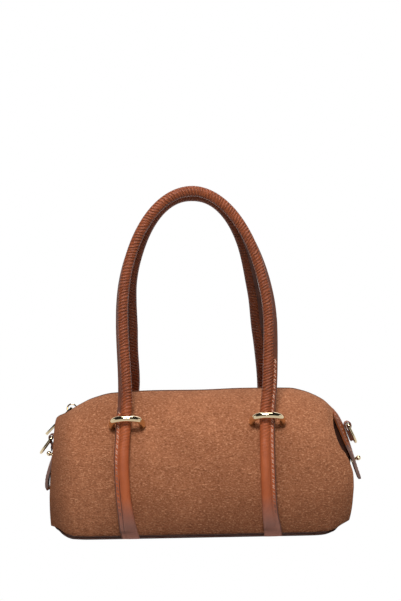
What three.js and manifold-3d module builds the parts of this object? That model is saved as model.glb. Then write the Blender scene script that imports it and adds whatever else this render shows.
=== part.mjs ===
// Suede barrel shoulder bag with two rolled leather handles, a top zip and gold hardware.
// Millimetres, +Z up, X along the bag, the front at -Y. The origin is the centre of the base's underside.
import * as THREE from 'three';
import { mergeVertices } from 'three/addons/utils/BufferGeometryUtils.js';
import Module from 'manifold-3d';

const wasm = await Module();
wasm.setup();

// Driving dimensions
const HALF_LENGTH = 150; // bag length, from the centre to the straight end
const BULGE_HEIGHT = 50; // height of the widest line of the walls
const CROWN_POWER = 2.15; // how square the upper half of the cross-section is
const LOWER_SHARE = 0.36; // share of the profile below the widest line
const SUEDE = 2.0; // wall of the suede panels
const LINING_GAP = 0.5; // clearance between sewn pieces
const SLIT = 6.2; // half width of the slit that the zip closes
const GUSSET_WALL = 1.6;
const GUSSET_PLACE = 0.975; // place along the bag where the gussets meet the walls
const GUSSET_FOOT = 2.4; // lower edge of the gussets above the foot of the walls
const GUSSET_SWELL = [14, 40]; // heights between which the middle of a gusset comes forward
const GUSSET_SINK = [84, 122]; // heights between which the middle of a gusset sinks
const BASE_WALL = 1.8;
const BASE_LIP = 3.0; // how far the base stands out past the foot of the walls
const BASE_TUCK = 3.0; // how far the base lies inside the walls at its ends
const BASE_END = 0.985;
// Places between which the base goes in under the walls, and then up between them.
const BASE_LEFT = { turn: [0.88, 0.95], lift: [0.95, 0.972] };
const BASE_RIGHT = { turn: [0.82, 0.9], lift: [0.9, 0.93] };
const FOOT_HEIGHT = BASE_WALL + 0.4; // foot of the walls above the underside
const WELT_RADIUS = 0.75;
const WELT_OUT = 2.0; // welt centre, out from the foot of the wall
const WELT_UP = 0.55;
const WELT_ENDS = [-0.89, 0.86];
const ZIP_TAPE = 1.0;
const ZIP_DROP = 3.1; // top of the tape below the edge of the suede
const ZIP_DIP = 3.5; // how far the zip sinks at the left end
const ZIP_ENDS = [-0.945, 0.9];
const TAPE_EDGES = [2.5, 8.4]; // edges of a tape, from the middle of the zip
const CHAIN_HALF = 2.1;
const CHAIN_PROUD = 0.7; // how far the teeth stand above the tape
const CHAIN_THICK = 2.2;
const HANDLE_CENTRE = -2.7; // middle between the keepers along the bag
const FIN_HALF = 1.1; // half thickness of the sewn fin along a handle
const FIN_OPENING = 0.42; // half angle of the roll's outline that the fin takes
const HANDLE_GAP = 0.6; // between the handle and the wall that it lies on
const FOOT_DEPTH = 53.4; // the handles' feet, from the bag's middle
const FOOT_TAB = 6; // height below which the feet stand upright
const LAID_SHARES = [0.075, 0.572]; // part of the wall's profile that a leg lies on
const ARCH_BASE = 217; // height at which the handles turn from legs to arch
const ARCH_DEPTH = 49; // arches from the bag's middle plane
const ARCH_LEAN = 3; // how much nearer the tops of the arches are
const KEEPER_OFFSET = 70.4; // keepers, from the middle between them
const KEEPER_HALF = 15.2; // half span of a keeper, to the middle of its wire
const KEEPER_DEPTH = 19.5; // how far a keeper stands out of the suede
const KEEPER_BOW = 17; // height of the bowed part of a keeper
const KEEPER_SQUARENESS = 2.6; // power of that bow: 2 makes an ellipse, more a squarer one
const KEEPER_WIRE = 3.2;
const KEEPER_POST = 3.6; // length of the posts behind the suede's outer face
const KEEPER_HOLE = KEEPER_WIRE + 0.6;
const KEEPER_PLACE = 0.648; // place of the keepers on the wall's profile, foot 0 to ridge 1
const TAB_HALF_THICK = 1.5;
const RING_WIRE = 1.5;
const RING_HALF = 8.5; // half width of a strap ring, to the middle of its wire
const RING_ARM = 11.5; // straight arms of a strap ring
const RING_CORNER = 1.4;
const LOOP_HALF = 6.5; // half width of the leather loop that holds a strap ring
const LOOP_OUTER = 3.6;
const LOOP_BORE = 2.0;
const LOOP_STRIP = 2.6; // thickness of the loop where its two ends lie together
const EYE_HEIGHT = LOOP_OUTER + 0.35; // ring axis above the face of the tab
const BALL_RADIUS = 2.6;
const STUD_SHANK = 1.1;
const STUD_HEAD = 2.6;
const SLIDER_PLACE = -0.893;
const SLIDER_LENGTH = 12;
const SLIDER_HALF = 4.2;
const SLIDER_PLATE = 1.6;
const SLIDER_LIFT = -1.4; // underside of the slider plate, from the middle of the zip
const BAIL_WIRE = 0.8;
const BAIL_REACH = 5.0; // half span of the slider's bail
const BAIL_HEIGHT = 7.2;
const PIN_HEIGHT = 3.0; // puller axis above the slider plate
const PULLER_LENGTH = 38;
const PULLER_THICK = 2.8;
const PULLER_HALF = 4.4;
const PULLER_BAR = 0.8; // half height of the bar above the puller's eye
const PULLER_EYE = { length: 7.2, half: 1.9 };
const PULLER_NECK = { half: 3.3, end: 8.6, shoulder: 15 };
const PULLER_DROP = 45; // degrees below level at which the puller lies

// Cross-sections along the bag, from the left end (-1) to the right end (1).
const SECTIONS = [
  { at: -1.0, ridge: 121.0, depth: 43.0, base: 34.0, rise: 10.2 },
  { at: -0.95, ridge: 124.6, depth: 50.2, base: 39.4, rise: 8.4 },
  { at: -0.91, ridge: 128.0, depth: 54.0, base: 42.6, rise: 3.8 },
  { at: -0.85, ridge: 132.8, depth: 57.5, base: 45.0, rise: 0.4 },
  { at: -0.75, ridge: 139.2, depth: 60.5, base: 47.5, rise: 0.0 },
  { at: -0.6, ridge: 144.2, depth: 63.0, base: 48.0, rise: 0.0 },
  { at: -0.3, ridge: 146.0, depth: 64.0, base: 48.0, rise: 0.0 },
  { at: 0.0, ridge: 145.7, depth: 64.2, base: 48.0, rise: 0.0 },
  { at: 0.3, ridge: 146.7, depth: 64.0, base: 48.0, rise: 0.0 },
  { at: 0.62, ridge: 146.0, depth: 62.5, base: 48.0, rise: 0.0 },
  { at: 0.75, ridge: 142.8, depth: 60.0, base: 47.5, rise: 0.0 },
  { at: 0.85, ridge: 138.8, depth: 57.0, base: 45.0, rise: 0.4 },
  { at: 0.91, ridge: 135.4, depth: 54.3, base: 42.6, rise: 2.6 },
  { at: 0.95, ridge: 132.2, depth: 52.0, base: 40.2, rise: 6.4 },
  { at: 1.0, ridge: 125.4, depth: 47.0, base: 36.0, rise: 10.4 },
];

// End edges of the suede, by height: the right end is pinched in at the top.
const ENDS = [
  { z: 0, left: -152.2, right: 145.4 },
  { z: 14, left: -153.8, right: 150.4 },
  { z: 27, left: -154.0, right: 152.6 },
  { z: 38, left: -153.9, right: 153.6 },
  { z: 50, left: -153.4, right: 154.4 },
  { z: 60, left: -152.6, right: 154.2 },
  { z: 71, left: -151.7, right: 151.5 },
  { z: 81, left: -151.0, right: 147.0 },
  { z: 88, left: -150.5, right: 142.2 },
  { z: 98, left: -149.7, right: 138.4 },
  { z: 110, left: -149.3, right: 136.2 },
  { z: 118, left: -148.7, right: 136.5 },
  { z: 125, left: -146.8, right: 137.0 },
];

// Middle lines of the gussets by height, and how deep the fold beside the middle is.
const GUSSET_LEFT = [
  { z: 10, middle: -149.0, fold: 0 },
  { z: 25, middle: -152.6, fold: 0 },
  { z: 38, middle: -155.6, fold: 0 },
  { z: 48, middle: -157.2, fold: 1 },
  { z: 58, middle: -156.8, fold: 3 },
  { z: 68, middle: -154.0, fold: 5 },
  { z: 79, middle: -149.6, fold: 8 },
  { z: 90, middle: -146.2, fold: 11 },
  { z: 100, middle: -143.6, fold: 13 },
  { z: 120, middle: -138.0, fold: 13 },
];
const GUSSET_RIGHT = [
  { z: 10, middle: 147.0, fold: 0 },
  { z: 25, middle: 150.2, fold: 0 },
  { z: 45, middle: 153.4, fold: 1 },
  { z: 60, middle: 154.8, fold: 4 },
  { z: 70, middle: 155.8, fold: 7 },
  { z: 80, middle: 154.0, fold: 10 },
  { z: 90, middle: 150.9, fold: 13 },
  { z: 100, middle: 147.4, fold: 14 },
  { z: 110, middle: 142.8, fold: 13 },
  { z: 121, middle: 135.4, fold: 9 },
];
// Gussets: their middle lines, how far up the profile they go and how far their middles sink at the top.
const GUSSETS = [
  { name: 'left', side: -1, lines: GUSSET_LEFT, top: 0.85, sink: 14 },
  { name: 'right', side: 1, lines: GUSSET_RIGHT, top: 0.95, sink: 5 },
];

// Middle lines of the end tabs in the plane y = 0, with their half widths and how far their edges bend in.
const TAB_LEFT = [
  { x: -138.0, z: 114.4, half: 4.4, cup: 0.4 },
  { x: -142.4, z: 111.4, half: 5.4, cup: 0.6 },
  { x: -146.0, z: 107.0, half: 9.0, cup: 1.0 },
  { x: -148.0, z: 100.0, half: 10.0, cup: 1.2 },
  { x: -150.2, z: 90.0, half: 10.0, cup: 1.2 },
  { x: -153.3, z: 79.0, half: 10.0, cup: 1.0 },
  { x: -157.6, z: 66.5, half: 10.0, cup: 0.6 },
  { x: -160.0, z: 56.0, half: 9.4, cup: 0.2 },
  { x: -160.3, z: 50.0, half: 8.6, cup: 0 },
  { x: -159.0, z: 44.8, half: 6.4, cup: 0 },
];
const TAB_RIGHT = [
  { x: 125.6, z: 130.8, half: 4.4, cup: 0.6 },
  { x: 131.5, z: 127.6, half: 4.6, cup: 1.4 },
  { x: 137.6, z: 122.8, half: 6.4, cup: 2.6 },
  { x: 142.7, z: 116.4, half: 10.0, cup: 4.2 },
  { x: 147.2, z: 107.4, half: 10.0, cup: 4.6 },
  { x: 151.3, z: 96.0, half: 10.0, cup: 4.2 },
  { x: 155.0, z: 84.6, half: 10.0, cup: 2.8 },
  { x: 158.6, z: 72.0, half: 10.0, cup: 0.8 },
  { x: 161.8, z: 60.5, half: 9.6, cup: 0.2 },
  { x: 165.0, z: 50.5, half: 7.0, cup: 0 },
];
// Fittings of each tab: heights of the ring loop and the stud, loop length, ring lean out of the vertical.
const FITTINGS = [
  { name: 'left', side: -1, tab: TAB_LEFT, loop: 98.5, length: 11, stud: 81.2, lean: 37 },
  { name: 'right', side: 1, tab: TAB_RIGHT, loop: 105, length: 17, stud: 70.6, lean: 24 },
];

// Leg of a handle by height: half width, half thickness, fin width and the turn of the fin in degrees on the
// left and the right leg (360 faces out of the arch, 270 to the middle of the bag).
const LEG = [
  { z: 0, half: 6.8, thick: 1.6, fin: 4.6, left: 360, right: 360 },
  { z: 9, half: 6.6, thick: 1.9, fin: 4.6, left: 360, right: 360 },
  { z: 13, half: 6.4, thick: 2.4, fin: 4.6, left: 360, right: 360 },
  { z: 18, half: 6.1, thick: 3.2, fin: 4.6, left: 360, right: 360 },
  { z: 26, half: 5.7, thick: 4.2, fin: 4.5, left: 360, right: 360 },
  { z: 40, half: 5.3, thick: 5.3, fin: 4.5, left: 360, right: 360 },
  { z: 110, half: 5.3, thick: 5.3, fin: 4.4, left: 360, right: 360 },
  { z: 140, half: 5.3, thick: 5.3, fin: 4.4, left: 341, right: 360 },
  { z: 165, half: 5.3, thick: 5.3, fin: 4.4, left: 330, right: 355 },
  { z: 206, half: 5.3, thick: 5.3, fin: 4.4, left: 321, right: 339 },
  { z: 244, half: 5.3, thick: 5.3, fin: 4.4, left: 314, right: 325 },
  { z: 264, half: 5.3, thick: 5.3, fin: 4.4, left: 309, right: 317 },
  { z: 310, half: 5.3, thick: 5.3, fin: 4.2, left: 295, right: 297 },
  { z: 351, half: 5.3, thick: 5.3, fin: 4.0, left: 282, right: 282 },
];
// Paths of the handles by height: legs from the handle's middle, and that middle along the bag.
const FRONT_PATH = [
  { z: 0, out: 69.2, middle: 0.2 },
  { z: 10, out: 70.0, middle: -1.5 },
  { z: 24, out: 69.8, middle: -3.4 },
  { z: 50, out: 70.3, middle: -5.3 },
  { z: 78, out: 70.6, middle: -6.0 },
  { z: 108, out: 69.9, middle: -5.0 },
  { z: 130, out: 69.7, middle: -3.5 },
  { z: 150, out: 70.7, middle: -2.2 },
  { z: 168, out: 71.6, middle: -2.0 },
  { z: 217, out: 73.4, middle: -2.2 },
  { z: 270, out: 73.4, middle: -3.4 },
  { z: 351, out: 73.4, middle: -3.7 },
];
const BACK_PATH = [
  { z: 0, out: 69.2, middle: -2.7 },
  { z: 24, out: 69.8, middle: -2.7 },
  { z: 118, out: 69.9, middle: -2.4 },
  { z: 153, out: 68.2, middle: -0.9 },
  { z: 188, out: 67.4, middle: -2.8 },
  { z: 217, out: 65.8, middle: -4.4 },
  { z: 240, out: 65.8, middle: -5.6 },
  { z: 266, out: 65.8, middle: -7.0 },
  { z: 300, out: 65.8, middle: -6.1 },
  { z: 351, out: 65.8, middle: -5.1 },
];
// Free part of a leg above its keeper: distance from the bag's middle plane.
const FREE_DEPTH = [
  { z: 118, depth: 58.2 },
  { z: 140, depth: 54.6 },
  { z: 163, depth: 52.0 },
  { z: 217, depth: 49.0 },
];
// Handles: side of the bag, path, height of the top and how square the arch is at its left and right
// (2 is an ellipse).
const HANDLES = [
  { name: 'front_handle', face: -1, path: FRONT_PATH, top: 349.3, left: 2.0, right: 1.93 },
  { name: 'back_handle', face: 1, path: BACK_PATH, top: 350.5, left: 2.15, right: 2.2 },
];

const material = (color, roughness, metalness = 0) =>
  new THREE.MeshStandardMaterial({ color, roughness, metalness });
const suede = () => material(0xa36a4a, 0.95);
const handleLeather = () => material(0x96502d, 0.5);
const darkLeather = () => material(0x3c1e14, 0.55);
const tapeCloth = () => material(0x4a2a1c, 0.9);
const gold = () => material(0xd9bf8a, 0.25, 1);

const bag = new THREE.Group();

function addPiece(name, geometry, surface, parent = bag) {
  const mesh = new THREE.Mesh(geometry, surface);
  mesh.name = name;
  parent.add(mesh);
  return mesh;
}

// Smooth curve through the rows of a table: returns every column at a value of the key column.
function smoothTable(rows, key) {
  const columns = Object.keys(rows[0]);
  const step = (i) => rows[i + 1][key] - rows[i][key];
  const slope = (i, column) => (rows[i + 1][column] - rows[i][column]) / step(i);
  const tangent = (i, column) => {
    if (i === 0) return slope(0, column);
    if (i === rows.length - 1) return slope(i - 1, column);
    const before = slope(i - 1, column);
    const after = slope(i, column);
    return before * after <= 0 ? 0 : (2 * before * after) / (before + after);
  };
  const ascending = step(0) > 0;
  return (value) => {
    const past = (row) => (ascending ? row[key] > value : row[key] < value);
    const found = rows.findIndex(past);
    const upper = Math.min(Math.max(found < 0 ? rows.length - 1 : found, 1), rows.length - 1);
    const i = upper - 1;
    const t = THREE.MathUtils.clamp((value - rows[i][key]) / step(i), 0, 1);
    const result = {};
    for (const column of columns) {
      const rise = (rows[i + 1][column] - rows[i][column]) * t * t * (3 - 2 * t);
      const start = tangent(i, column) * step(i) * t * (1 - t) * (1 - t);
      const end = tangent(i + 1, column) * step(i) * t * t * (1 - t);
      result[column] = rows[i][column] + rise + start - end;
    }
    return result;
  };
}

// Closed body from points and triangles, turned so that its faces point out.
function closedBody(points, triangles) {
  const volume = triangles.reduce(
    (sum, [a, b, c]) => sum + points[a].dot(points[b].clone().cross(points[c])),
    0,
  );
  const index = triangles.flatMap(([a, b, c]) => (volume > 0 ? [a, b, c] : [a, c, b]));
  const geometry = new THREE.BufferGeometry().setFromPoints(points);
  geometry.setIndex(index);
  geometry.computeVertexNormals();
  return geometry;
}

// Wall between two grids of points with the same rows and columns.
function wallBody(outer, inner) {
  const rows = outer.length;
  const columns = outer[0].length;
  const points = [...outer.flat(), ...inner.flat()];
  const at = (side, r, c) => (side * rows + r) * columns + c;
  const triangles = [];
  const quad = (a, b, c, d) => triangles.push([a, b, c], [a, c, d]);
  const [lastRow, lastColumn] = [rows - 1, columns - 1];
  for (let r = 0; r < lastRow; r++) {
    for (let c = 0; c < lastColumn; c++) {
      quad(at(0, r, c), at(0, r, c + 1), at(0, r + 1, c + 1), at(0, r + 1, c));
      quad(at(1, r, c), at(1, r + 1, c), at(1, r + 1, c + 1), at(1, r, c + 1));
    }
    quad(at(0, r, 0), at(0, r + 1, 0), at(1, r + 1, 0), at(1, r, 0));
    quad(at(0, r, lastColumn), at(1, r, lastColumn), at(1, r + 1, lastColumn), at(0, r + 1, lastColumn));
  }
  for (let c = 0; c < lastColumn; c++) {
    quad(at(0, 0, c), at(1, 0, c), at(1, 0, c + 1), at(0, 0, c + 1));
    quad(at(0, lastRow, c), at(0, lastRow, c + 1), at(1, lastRow, c + 1), at(1, lastRow, c));
  }
  return closedBody(points, triangles);
}

// Grid moved along its own normals by a distance.
function offsetGrid(grid, distance) {
  const pick = (list, i) => list[THREE.MathUtils.clamp(i, 0, list.length - 1)];
  return grid.map((row, r) =>
    row.map((point, c) => {
      const along = pick(row, c + 1).clone().sub(pick(row, c - 1));
      const across = pick(grid, r + 1)[c].clone().sub(pick(grid, r - 1)[c]);
      const normal = along.cross(across).normalize();
      return point.clone().addScaledVector(normal, distance);
    }),
  );
}

// Body through a row of rings with the same number of points; a loop joins its last ring to its first.
function loftBody(rings, loop = false) {
  const sides = rings[0].length;
  const points = rings.flat();
  const triangles = [];
  const spans = loop ? rings.length : rings.length - 1;
  for (let r = 0; r < spans; r++) {
    const next = (r + 1) % rings.length;
    for (let k = 0; k < sides; k++) {
      const turn = (k + 1) % sides;
      const [a, b] = [r * sides + k, r * sides + turn];
      const [c, d] = [next * sides + turn, next * sides + k];
      triangles.push([a, b, c], [a, c, d]);
    }
  }
  if (!loop) {
    for (const [ring, reverse] of [[0, true], [rings.length - 1, false]]) {
      const centre = new THREE.Vector3();
      rings[ring].forEach((point) => centre.addScaledVector(point, 1 / sides));
      points.push(centre);
      for (let k = 0; k < sides; k++) {
        const [a, b] = [ring * sides + k, ring * sides + ((k + 1) % sides)];
        triangles.push(reverse ? [points.length - 1, b, a] : [points.length - 1, a, b]);
      }
    }
  }
  return closedBody(points, triangles);
}

// Round wire along points of a flat path; flat is the normal of the path's plane.
function wireBody(path, flat, radius, sides, loop = false) {
  const count = path.length;
  const rings = path.map((point, i) => {
    const before = path[loop ? (i + count - 1) % count : Math.max(i - 1, 0)];
    const after = path[loop ? (i + 1) % count : Math.min(i + 1, count - 1)];
    const tangent = after.clone().sub(before).normalize();
    const across = flat.clone().cross(tangent).normalize();
    const up = tangent.clone().cross(across);
    return Array.from({ length: sides }, (_, k) => {
      const angle = (k * 2 * Math.PI) / sides;
      return point
        .clone()
        .addScaledVector(across, radius * Math.cos(angle))
        .addScaledVector(up, radius * Math.sin(angle));
    });
  });
  return loftBody(rings, loop);
}

function toManifold(geometry) {
  const bare = geometry.clone();
  bare.deleteAttribute('normal');
  bare.deleteAttribute('uv');
  const merged = mergeVertices(bare, 1e-4);
  return new wasm.Manifold(
    new wasm.Mesh({
      numProp: 3,
      vertProperties: new Float32Array(merged.attributes.position.array),
      triVerts: new Uint32Array(merged.index.array),
    }),
  );
}

function fromManifold(body) {
  const mesh = body.getMesh();
  const geometry = new THREE.BufferGeometry();
  geometry.setAttribute('position', new THREE.BufferAttribute(mesh.vertProperties, 3));
  geometry.setIndex(new THREE.BufferAttribute(mesh.triVerts, 1));
  geometry.computeVertexNormals();
  return geometry;
}

const range = (count, from, to) =>
  Array.from({ length: count }, (_, i) => from + ((to - from) * i) / (count - 1));

const sectionAt = smoothTable(SECTIONS, 'at');
const endAt = smoothTable(ENDS, 'z');

// Profile of a wall at a place along the bag: foot at 0, slit at the ridge at 1.
function profilePoint(place, share) {
  const { ridge, depth, base, rise } = sectionAt(place);
  const foot = FOOT_HEIGHT + rise;
  if (share < LOWER_SHARE) {
    const t = share / LOWER_SHARE;
    return { y: depth - (depth - base) * (1 - t) ** 2, z: foot + (BULGE_HEIGHT - foot) * t };
  }
  const angle = ((share - LOWER_SHARE) / (1 - LOWER_SHARE)) * (Math.PI / 2);
  const square = (value) => Math.max(value, 0) ** (2 / CROWN_POWER);
  return {
    y: SLIT + (depth - SLIT) * square(Math.cos(angle)),
    z: BULGE_HEIGHT + (ridge - BULGE_HEIGHT) * square(Math.sin(angle)),
  };
}

// Outer face of the front wall.
function wallPoint(place, share) {
  const { y, z } = profilePoint(place, share);
  const ends = endAt(z);
  const edge = place < 0 ? ends.left : ends.right;
  const pull = THREE.MathUtils.smoothstep(Math.abs(place), 0.6, 1);
  const x = HALF_LENGTH * place + (edge - HALF_LENGTH * Math.sign(place)) * pull;
  return new THREE.Vector3(x, -y, z);
}

// Outward normal of the front wall.
function wallNormal(place, share) {
  const step = 1e-3;
  const along = wallPoint(place + step, share).sub(wallPoint(place - step, share));
  const up = wallPoint(place, share + step).sub(wallPoint(place, share - step));
  return along.cross(up).normalize();
}

// Places along the bag, closer together near the ends.
const PLACES = range(25, -1, 1).map((t) => Math.sin((t * Math.PI) / 2) * 0.62 + t * 0.38);
const SHARES = range(13, 0, 1);

function mirrorDepth(grid) {
  return grid.map((row) => row.map((point) => new THREE.Vector3(point.x, -point.y, point.z)));
}

// Place of a keeper: a group whose X runs along the bag and whose Z stands out of the wall.
function keeperFrame(side, face) {
  const place = (HANDLE_CENTRE + side * KEEPER_OFFSET) / HALF_LENGTH;
  const root = wallPoint(place, KEEPER_PLACE);
  const normal = wallNormal(place, KEEPER_PLACE);
  const frame = new THREE.Group();
  frame.position.set(root.x, -face * root.y, root.z);
  frame.rotation.x = -face * Math.atan2(-normal.y, normal.z);
  frame.updateMatrix();
  return frame;
}

const KEEPERS = [];
for (const [faceName, face] of [['front', -1], ['back', 1]]) {
  for (const [sideName, side] of [['left', -1], ['right', 1]]) {
    KEEPERS.push({ name: `${faceName}_${sideName}_keeper`, face, frame: keeperFrame(side, face) });
  }
}

// Suede walls, with holes for the keepers' posts.
function panelGeometry(face) {
  const front = PLACES.map((place) => SHARES.map((share) => wallPoint(place, share)));
  const inside = offsetGrid(front, SUEDE);
  const geometry = face < 0 ? wallBody(front, inside) : wallBody(mirrorDepth(front), mirrorDepth(inside));
  let body = toManifold(geometry);
  for (const keeper of KEEPERS.filter((each) => each.face === face)) {
    for (const side of [-1, 1]) {
      const hole = new THREE.CylinderGeometry(KEEPER_HOLE, KEEPER_HOLE, 4 * KEEPER_POST, 8);
      hole.rotateX(Math.PI / 2).translate(side * KEEPER_HALF, 0, 0);
      hole.applyMatrix4(keeper.frame.matrix);
      body = body.subtract(toManifold(hole));
    }
  }
  return fromManifold(body);
}

// Gold loops: two posts through the suede and a bowed bar.
function keeperGeometry() {
  const rise = KEEPER_DEPTH - KEEPER_BOW;
  const squared = (value) => Math.sign(value) * Math.abs(value) ** (2 / KEEPER_SQUARENESS);
  const bowed = (turn) =>
    new THREE.Vector3(-KEEPER_HALF * squared(Math.cos(turn)), 0, rise + KEEPER_BOW * squared(Math.sin(turn)));
  const path = [
    new THREE.Vector3(-KEEPER_HALF, 0, -KEEPER_POST),
    ...range(13, 0, Math.PI).map(bowed),
    new THREE.Vector3(KEEPER_HALF, 0, -KEEPER_POST),
  ];
  return wireBody(path, new THREE.Vector3(0, 1, 0), KEEPER_WIRE, 8);
}

// Ends of the bag: the middle stands out under the tab, with a fold on each side of it.
function gussetGeometry({ side, lines, top, sink }) {
  const middleAt = smoothTable(lines, 'z');
  const lowest = FOOT_HEIGHT + sectionAt(side * GUSSET_PLACE).rise + GUSSET_FOOT;
  const grid = range(12, 0, top).map((share) => {
    const normal = wallNormal(side * GUSSET_PLACE, Math.max(share, 0.004));
    const edge = wallPoint(side * GUSSET_PLACE, share).addScaledVector(normal, -SUEDE - LINING_GAP);
    edge.z = Math.max(edge.z, lowest);
    const drop = sink * THREE.MathUtils.smoothstep(edge.z, ...GUSSET_SINK);
    const { middle, fold } = middleAt(edge.z - drop);
    const swell = THREE.MathUtils.smoothstep(edge.z, ...GUSSET_SWELL);
    return range(15, -1, 1).map((t) => {
      const s = Math.abs(t);
      const crown = (middle - edge.x) * (1 - s * s * (3 - 2 * s)) * swell;
      const crease = fold * Math.sin(Math.PI * s) ** 1.5;
      return new THREE.Vector3(edge.x + crown - side * crease, t * -edge.y, edge.z - drop * (1 - s * s));
    });
  });
  return wallBody(grid, offsetGrid(grid, -side * GUSSET_WALL));
}

// Base: flat under the bag; its ends go in under the walls and up between them.
function baseGeometry() {
  const places = [BASE_END, 0.972, 0.962, 0.95, 0.935, 0.92, 0.905, 0.89, 0.87, 0.84, 0.75, 0.5, 0];
  const all = [...places.map((place) => -place), ...places.slice(0, -1).reverse()];
  const lower = all.map((place) => {
    const { base, rise } = sectionAt(place);
    const along = Math.abs(place);
    const end = place < 0 ? BASE_LEFT : BASE_RIGHT;
    const inside = THREE.MathUtils.smoothstep(along, ...end.turn);
    const lift = (FOOT_HEIGHT - 0.1) * THREE.MathUtils.smoothstep(along, ...end.lift);
    const half = base + BASE_LIP - (BASE_LIP + BASE_TUCK) * inside;
    const x = wallPoint(place, 0).x;
    return range(5, -1, 1).map((t) => new THREE.Vector3(x, t * half, rise + lift));
  });
  const upper = lower.map((row) => row.map((point) => point.clone().setZ(point.z + BASE_WALL)));
  return wallBody(upper, lower);
}

// Thin piping along the foot of a wall.
function weltGeometry(face) {
  const sides = 6;
  const rings = range(23, ...WELT_ENDS).map((place) => {
    const foot = wallPoint(place, 0);
    const centre = new THREE.Vector3(foot.x, face * (-foot.y + WELT_OUT), foot.z + WELT_UP);
    return Array.from({ length: sides }, (_, k) => {
      const angle = (k * 2 * Math.PI) / sides;
      return centre
        .clone()
        .add(new THREE.Vector3(0, WELT_RADIUS * Math.cos(angle), WELT_RADIUS * Math.sin(angle)));
    });
  });
  return loftBody(rings);
}

// Middle of the zip: it follows the ridge and sinks between the walls at the left end.
function zipPoint(place) {
  const ridge = wallPoint(place, 1);
  const dip = ZIP_DIP * THREE.MathUtils.smoothstep(-place, 0.75, 0.96);
  return new THREE.Vector3(ridge.x, 0, ridge.z - dip);
}

// Flat strip along the zip, between two distances from the middle and two depths below the ridge.
function zipStrip(inner, outer, top, thickness) {
  const rings = range(21, ...ZIP_ENDS).map((place) => {
    const middle = zipPoint(place);
    const corner = (y, drop) => new THREE.Vector3(middle.x, y, middle.z - drop);
    return [
      corner(inner, top),
      corner(outer, top),
      corner(outer, top + thickness),
      corner(inner, top + thickness),
    ];
  });
  return loftBody(rings);
}

// Frame on the zip for the slider: X points down to the left along the zip, Z away from it.
function sliderFrame() {
  const step = 0.02;
  const here = zipPoint(SLIDER_PLACE);
  const fall = zipPoint(SLIDER_PLACE - step).sub(zipPoint(SLIDER_PLACE + step));
  const frame = new THREE.Group();
  frame.position.copy(here);
  frame.rotation.set(0, Math.atan2(fall.z, -fall.x), 0);
  return frame;
}

// Slider: a plate with a round nose and a bail that holds the puller.
function sliderGeometry() {
  const half = SLIDER_LENGTH / 2;
  const outline = new THREE.Shape();
  outline.moveTo(half, -SLIDER_HALF * 0.6);
  outline.lineTo(half, SLIDER_HALF * 0.6);
  outline.quadraticCurveTo(half * 0.4, SLIDER_HALF, 0, SLIDER_HALF);
  outline.quadraticCurveTo(-half, SLIDER_HALF, -half, 0);
  outline.quadraticCurveTo(-half, -SLIDER_HALF, 0, -SLIDER_HALF);
  outline.quadraticCurveTo(half * 0.4, -SLIDER_HALF, half, -SLIDER_HALF * 0.6);
  const plate = new THREE.ExtrudeGeometry(outline, {
    depth: SLIDER_PLATE,
    bevelEnabled: false,
    curveSegments: 4,
  });
  const path = range(9, 0, Math.PI).map(
    (turn) =>
      new THREE.Vector3(
        BAIL_REACH * Math.cos(turn),
        0,
        SLIDER_PLATE + BAIL_HEIGHT * Math.sin(turn) ** 0.7,
      ),
  );
  path.unshift(new THREE.Vector3(BAIL_REACH, 0, SLIDER_PLATE / 2));
  path.push(new THREE.Vector3(-BAIL_REACH, 0, SLIDER_PLATE / 2));
  const bail = wireBody(path, new THREE.Vector3(0, 1, 0), BAIL_WIRE, 6);
  return fromManifold(toManifold(plate).add(toManifold(bail)));
}

// Puller: a flat bar whose upper eye takes the bail. Its axis is its upper edge, along Y.
function pullerGeometry() {
  const { half, end, shoulder } = PULLER_NECK;
  const bend = (end + shoulder) / 2;
  const outline = new THREE.Shape();
  outline.moveTo(-PULLER_BAR, -half);
  outline.lineTo(end, -half);
  outline.quadraticCurveTo(bend, -half, shoulder, -PULLER_HALF);
  outline.lineTo(PULLER_LENGTH - PULLER_HALF, -PULLER_HALF);
  outline.absarc(PULLER_LENGTH - PULLER_HALF, 0, PULLER_HALF, -Math.PI / 2, Math.PI / 2, false);
  outline.lineTo(shoulder, PULLER_HALF);
  outline.quadraticCurveTo(bend, half, end, half);
  outline.lineTo(-PULLER_BAR, half);
  outline.closePath();
  const eye = new THREE.Path();
  eye.moveTo(PULLER_BAR, -PULLER_EYE.half);
  eye.lineTo(PULLER_BAR, PULLER_EYE.half);
  eye.lineTo(PULLER_EYE.length, PULLER_EYE.half);
  eye.lineTo(PULLER_EYE.length, -PULLER_EYE.half);
  eye.closePath();
  outline.holes.push(eye);
  const geometry = new THREE.ExtrudeGeometry(outline, {
    depth: PULLER_THICK,
    bevelEnabled: false,
    curveSegments: 6,
  });
  return geometry.translate(0, 0, -PULLER_THICK / 2);
}

// Place on a tab at a height: its middle, its downward direction and its outward normal.
function tabFrame(tab, side, height) {
  const at = smoothTable(tab, 'z');
  const step = 0.5;
  const down = new THREE.Vector3(at(height - step).x - at(height + step).x, 0, -2 * step).normalize();
  const out = new THREE.Vector3(-down.z * side, 0, down.x * side);
  return { middle: new THREE.Vector3(at(height).x, 0, height), down, out };
}

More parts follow.
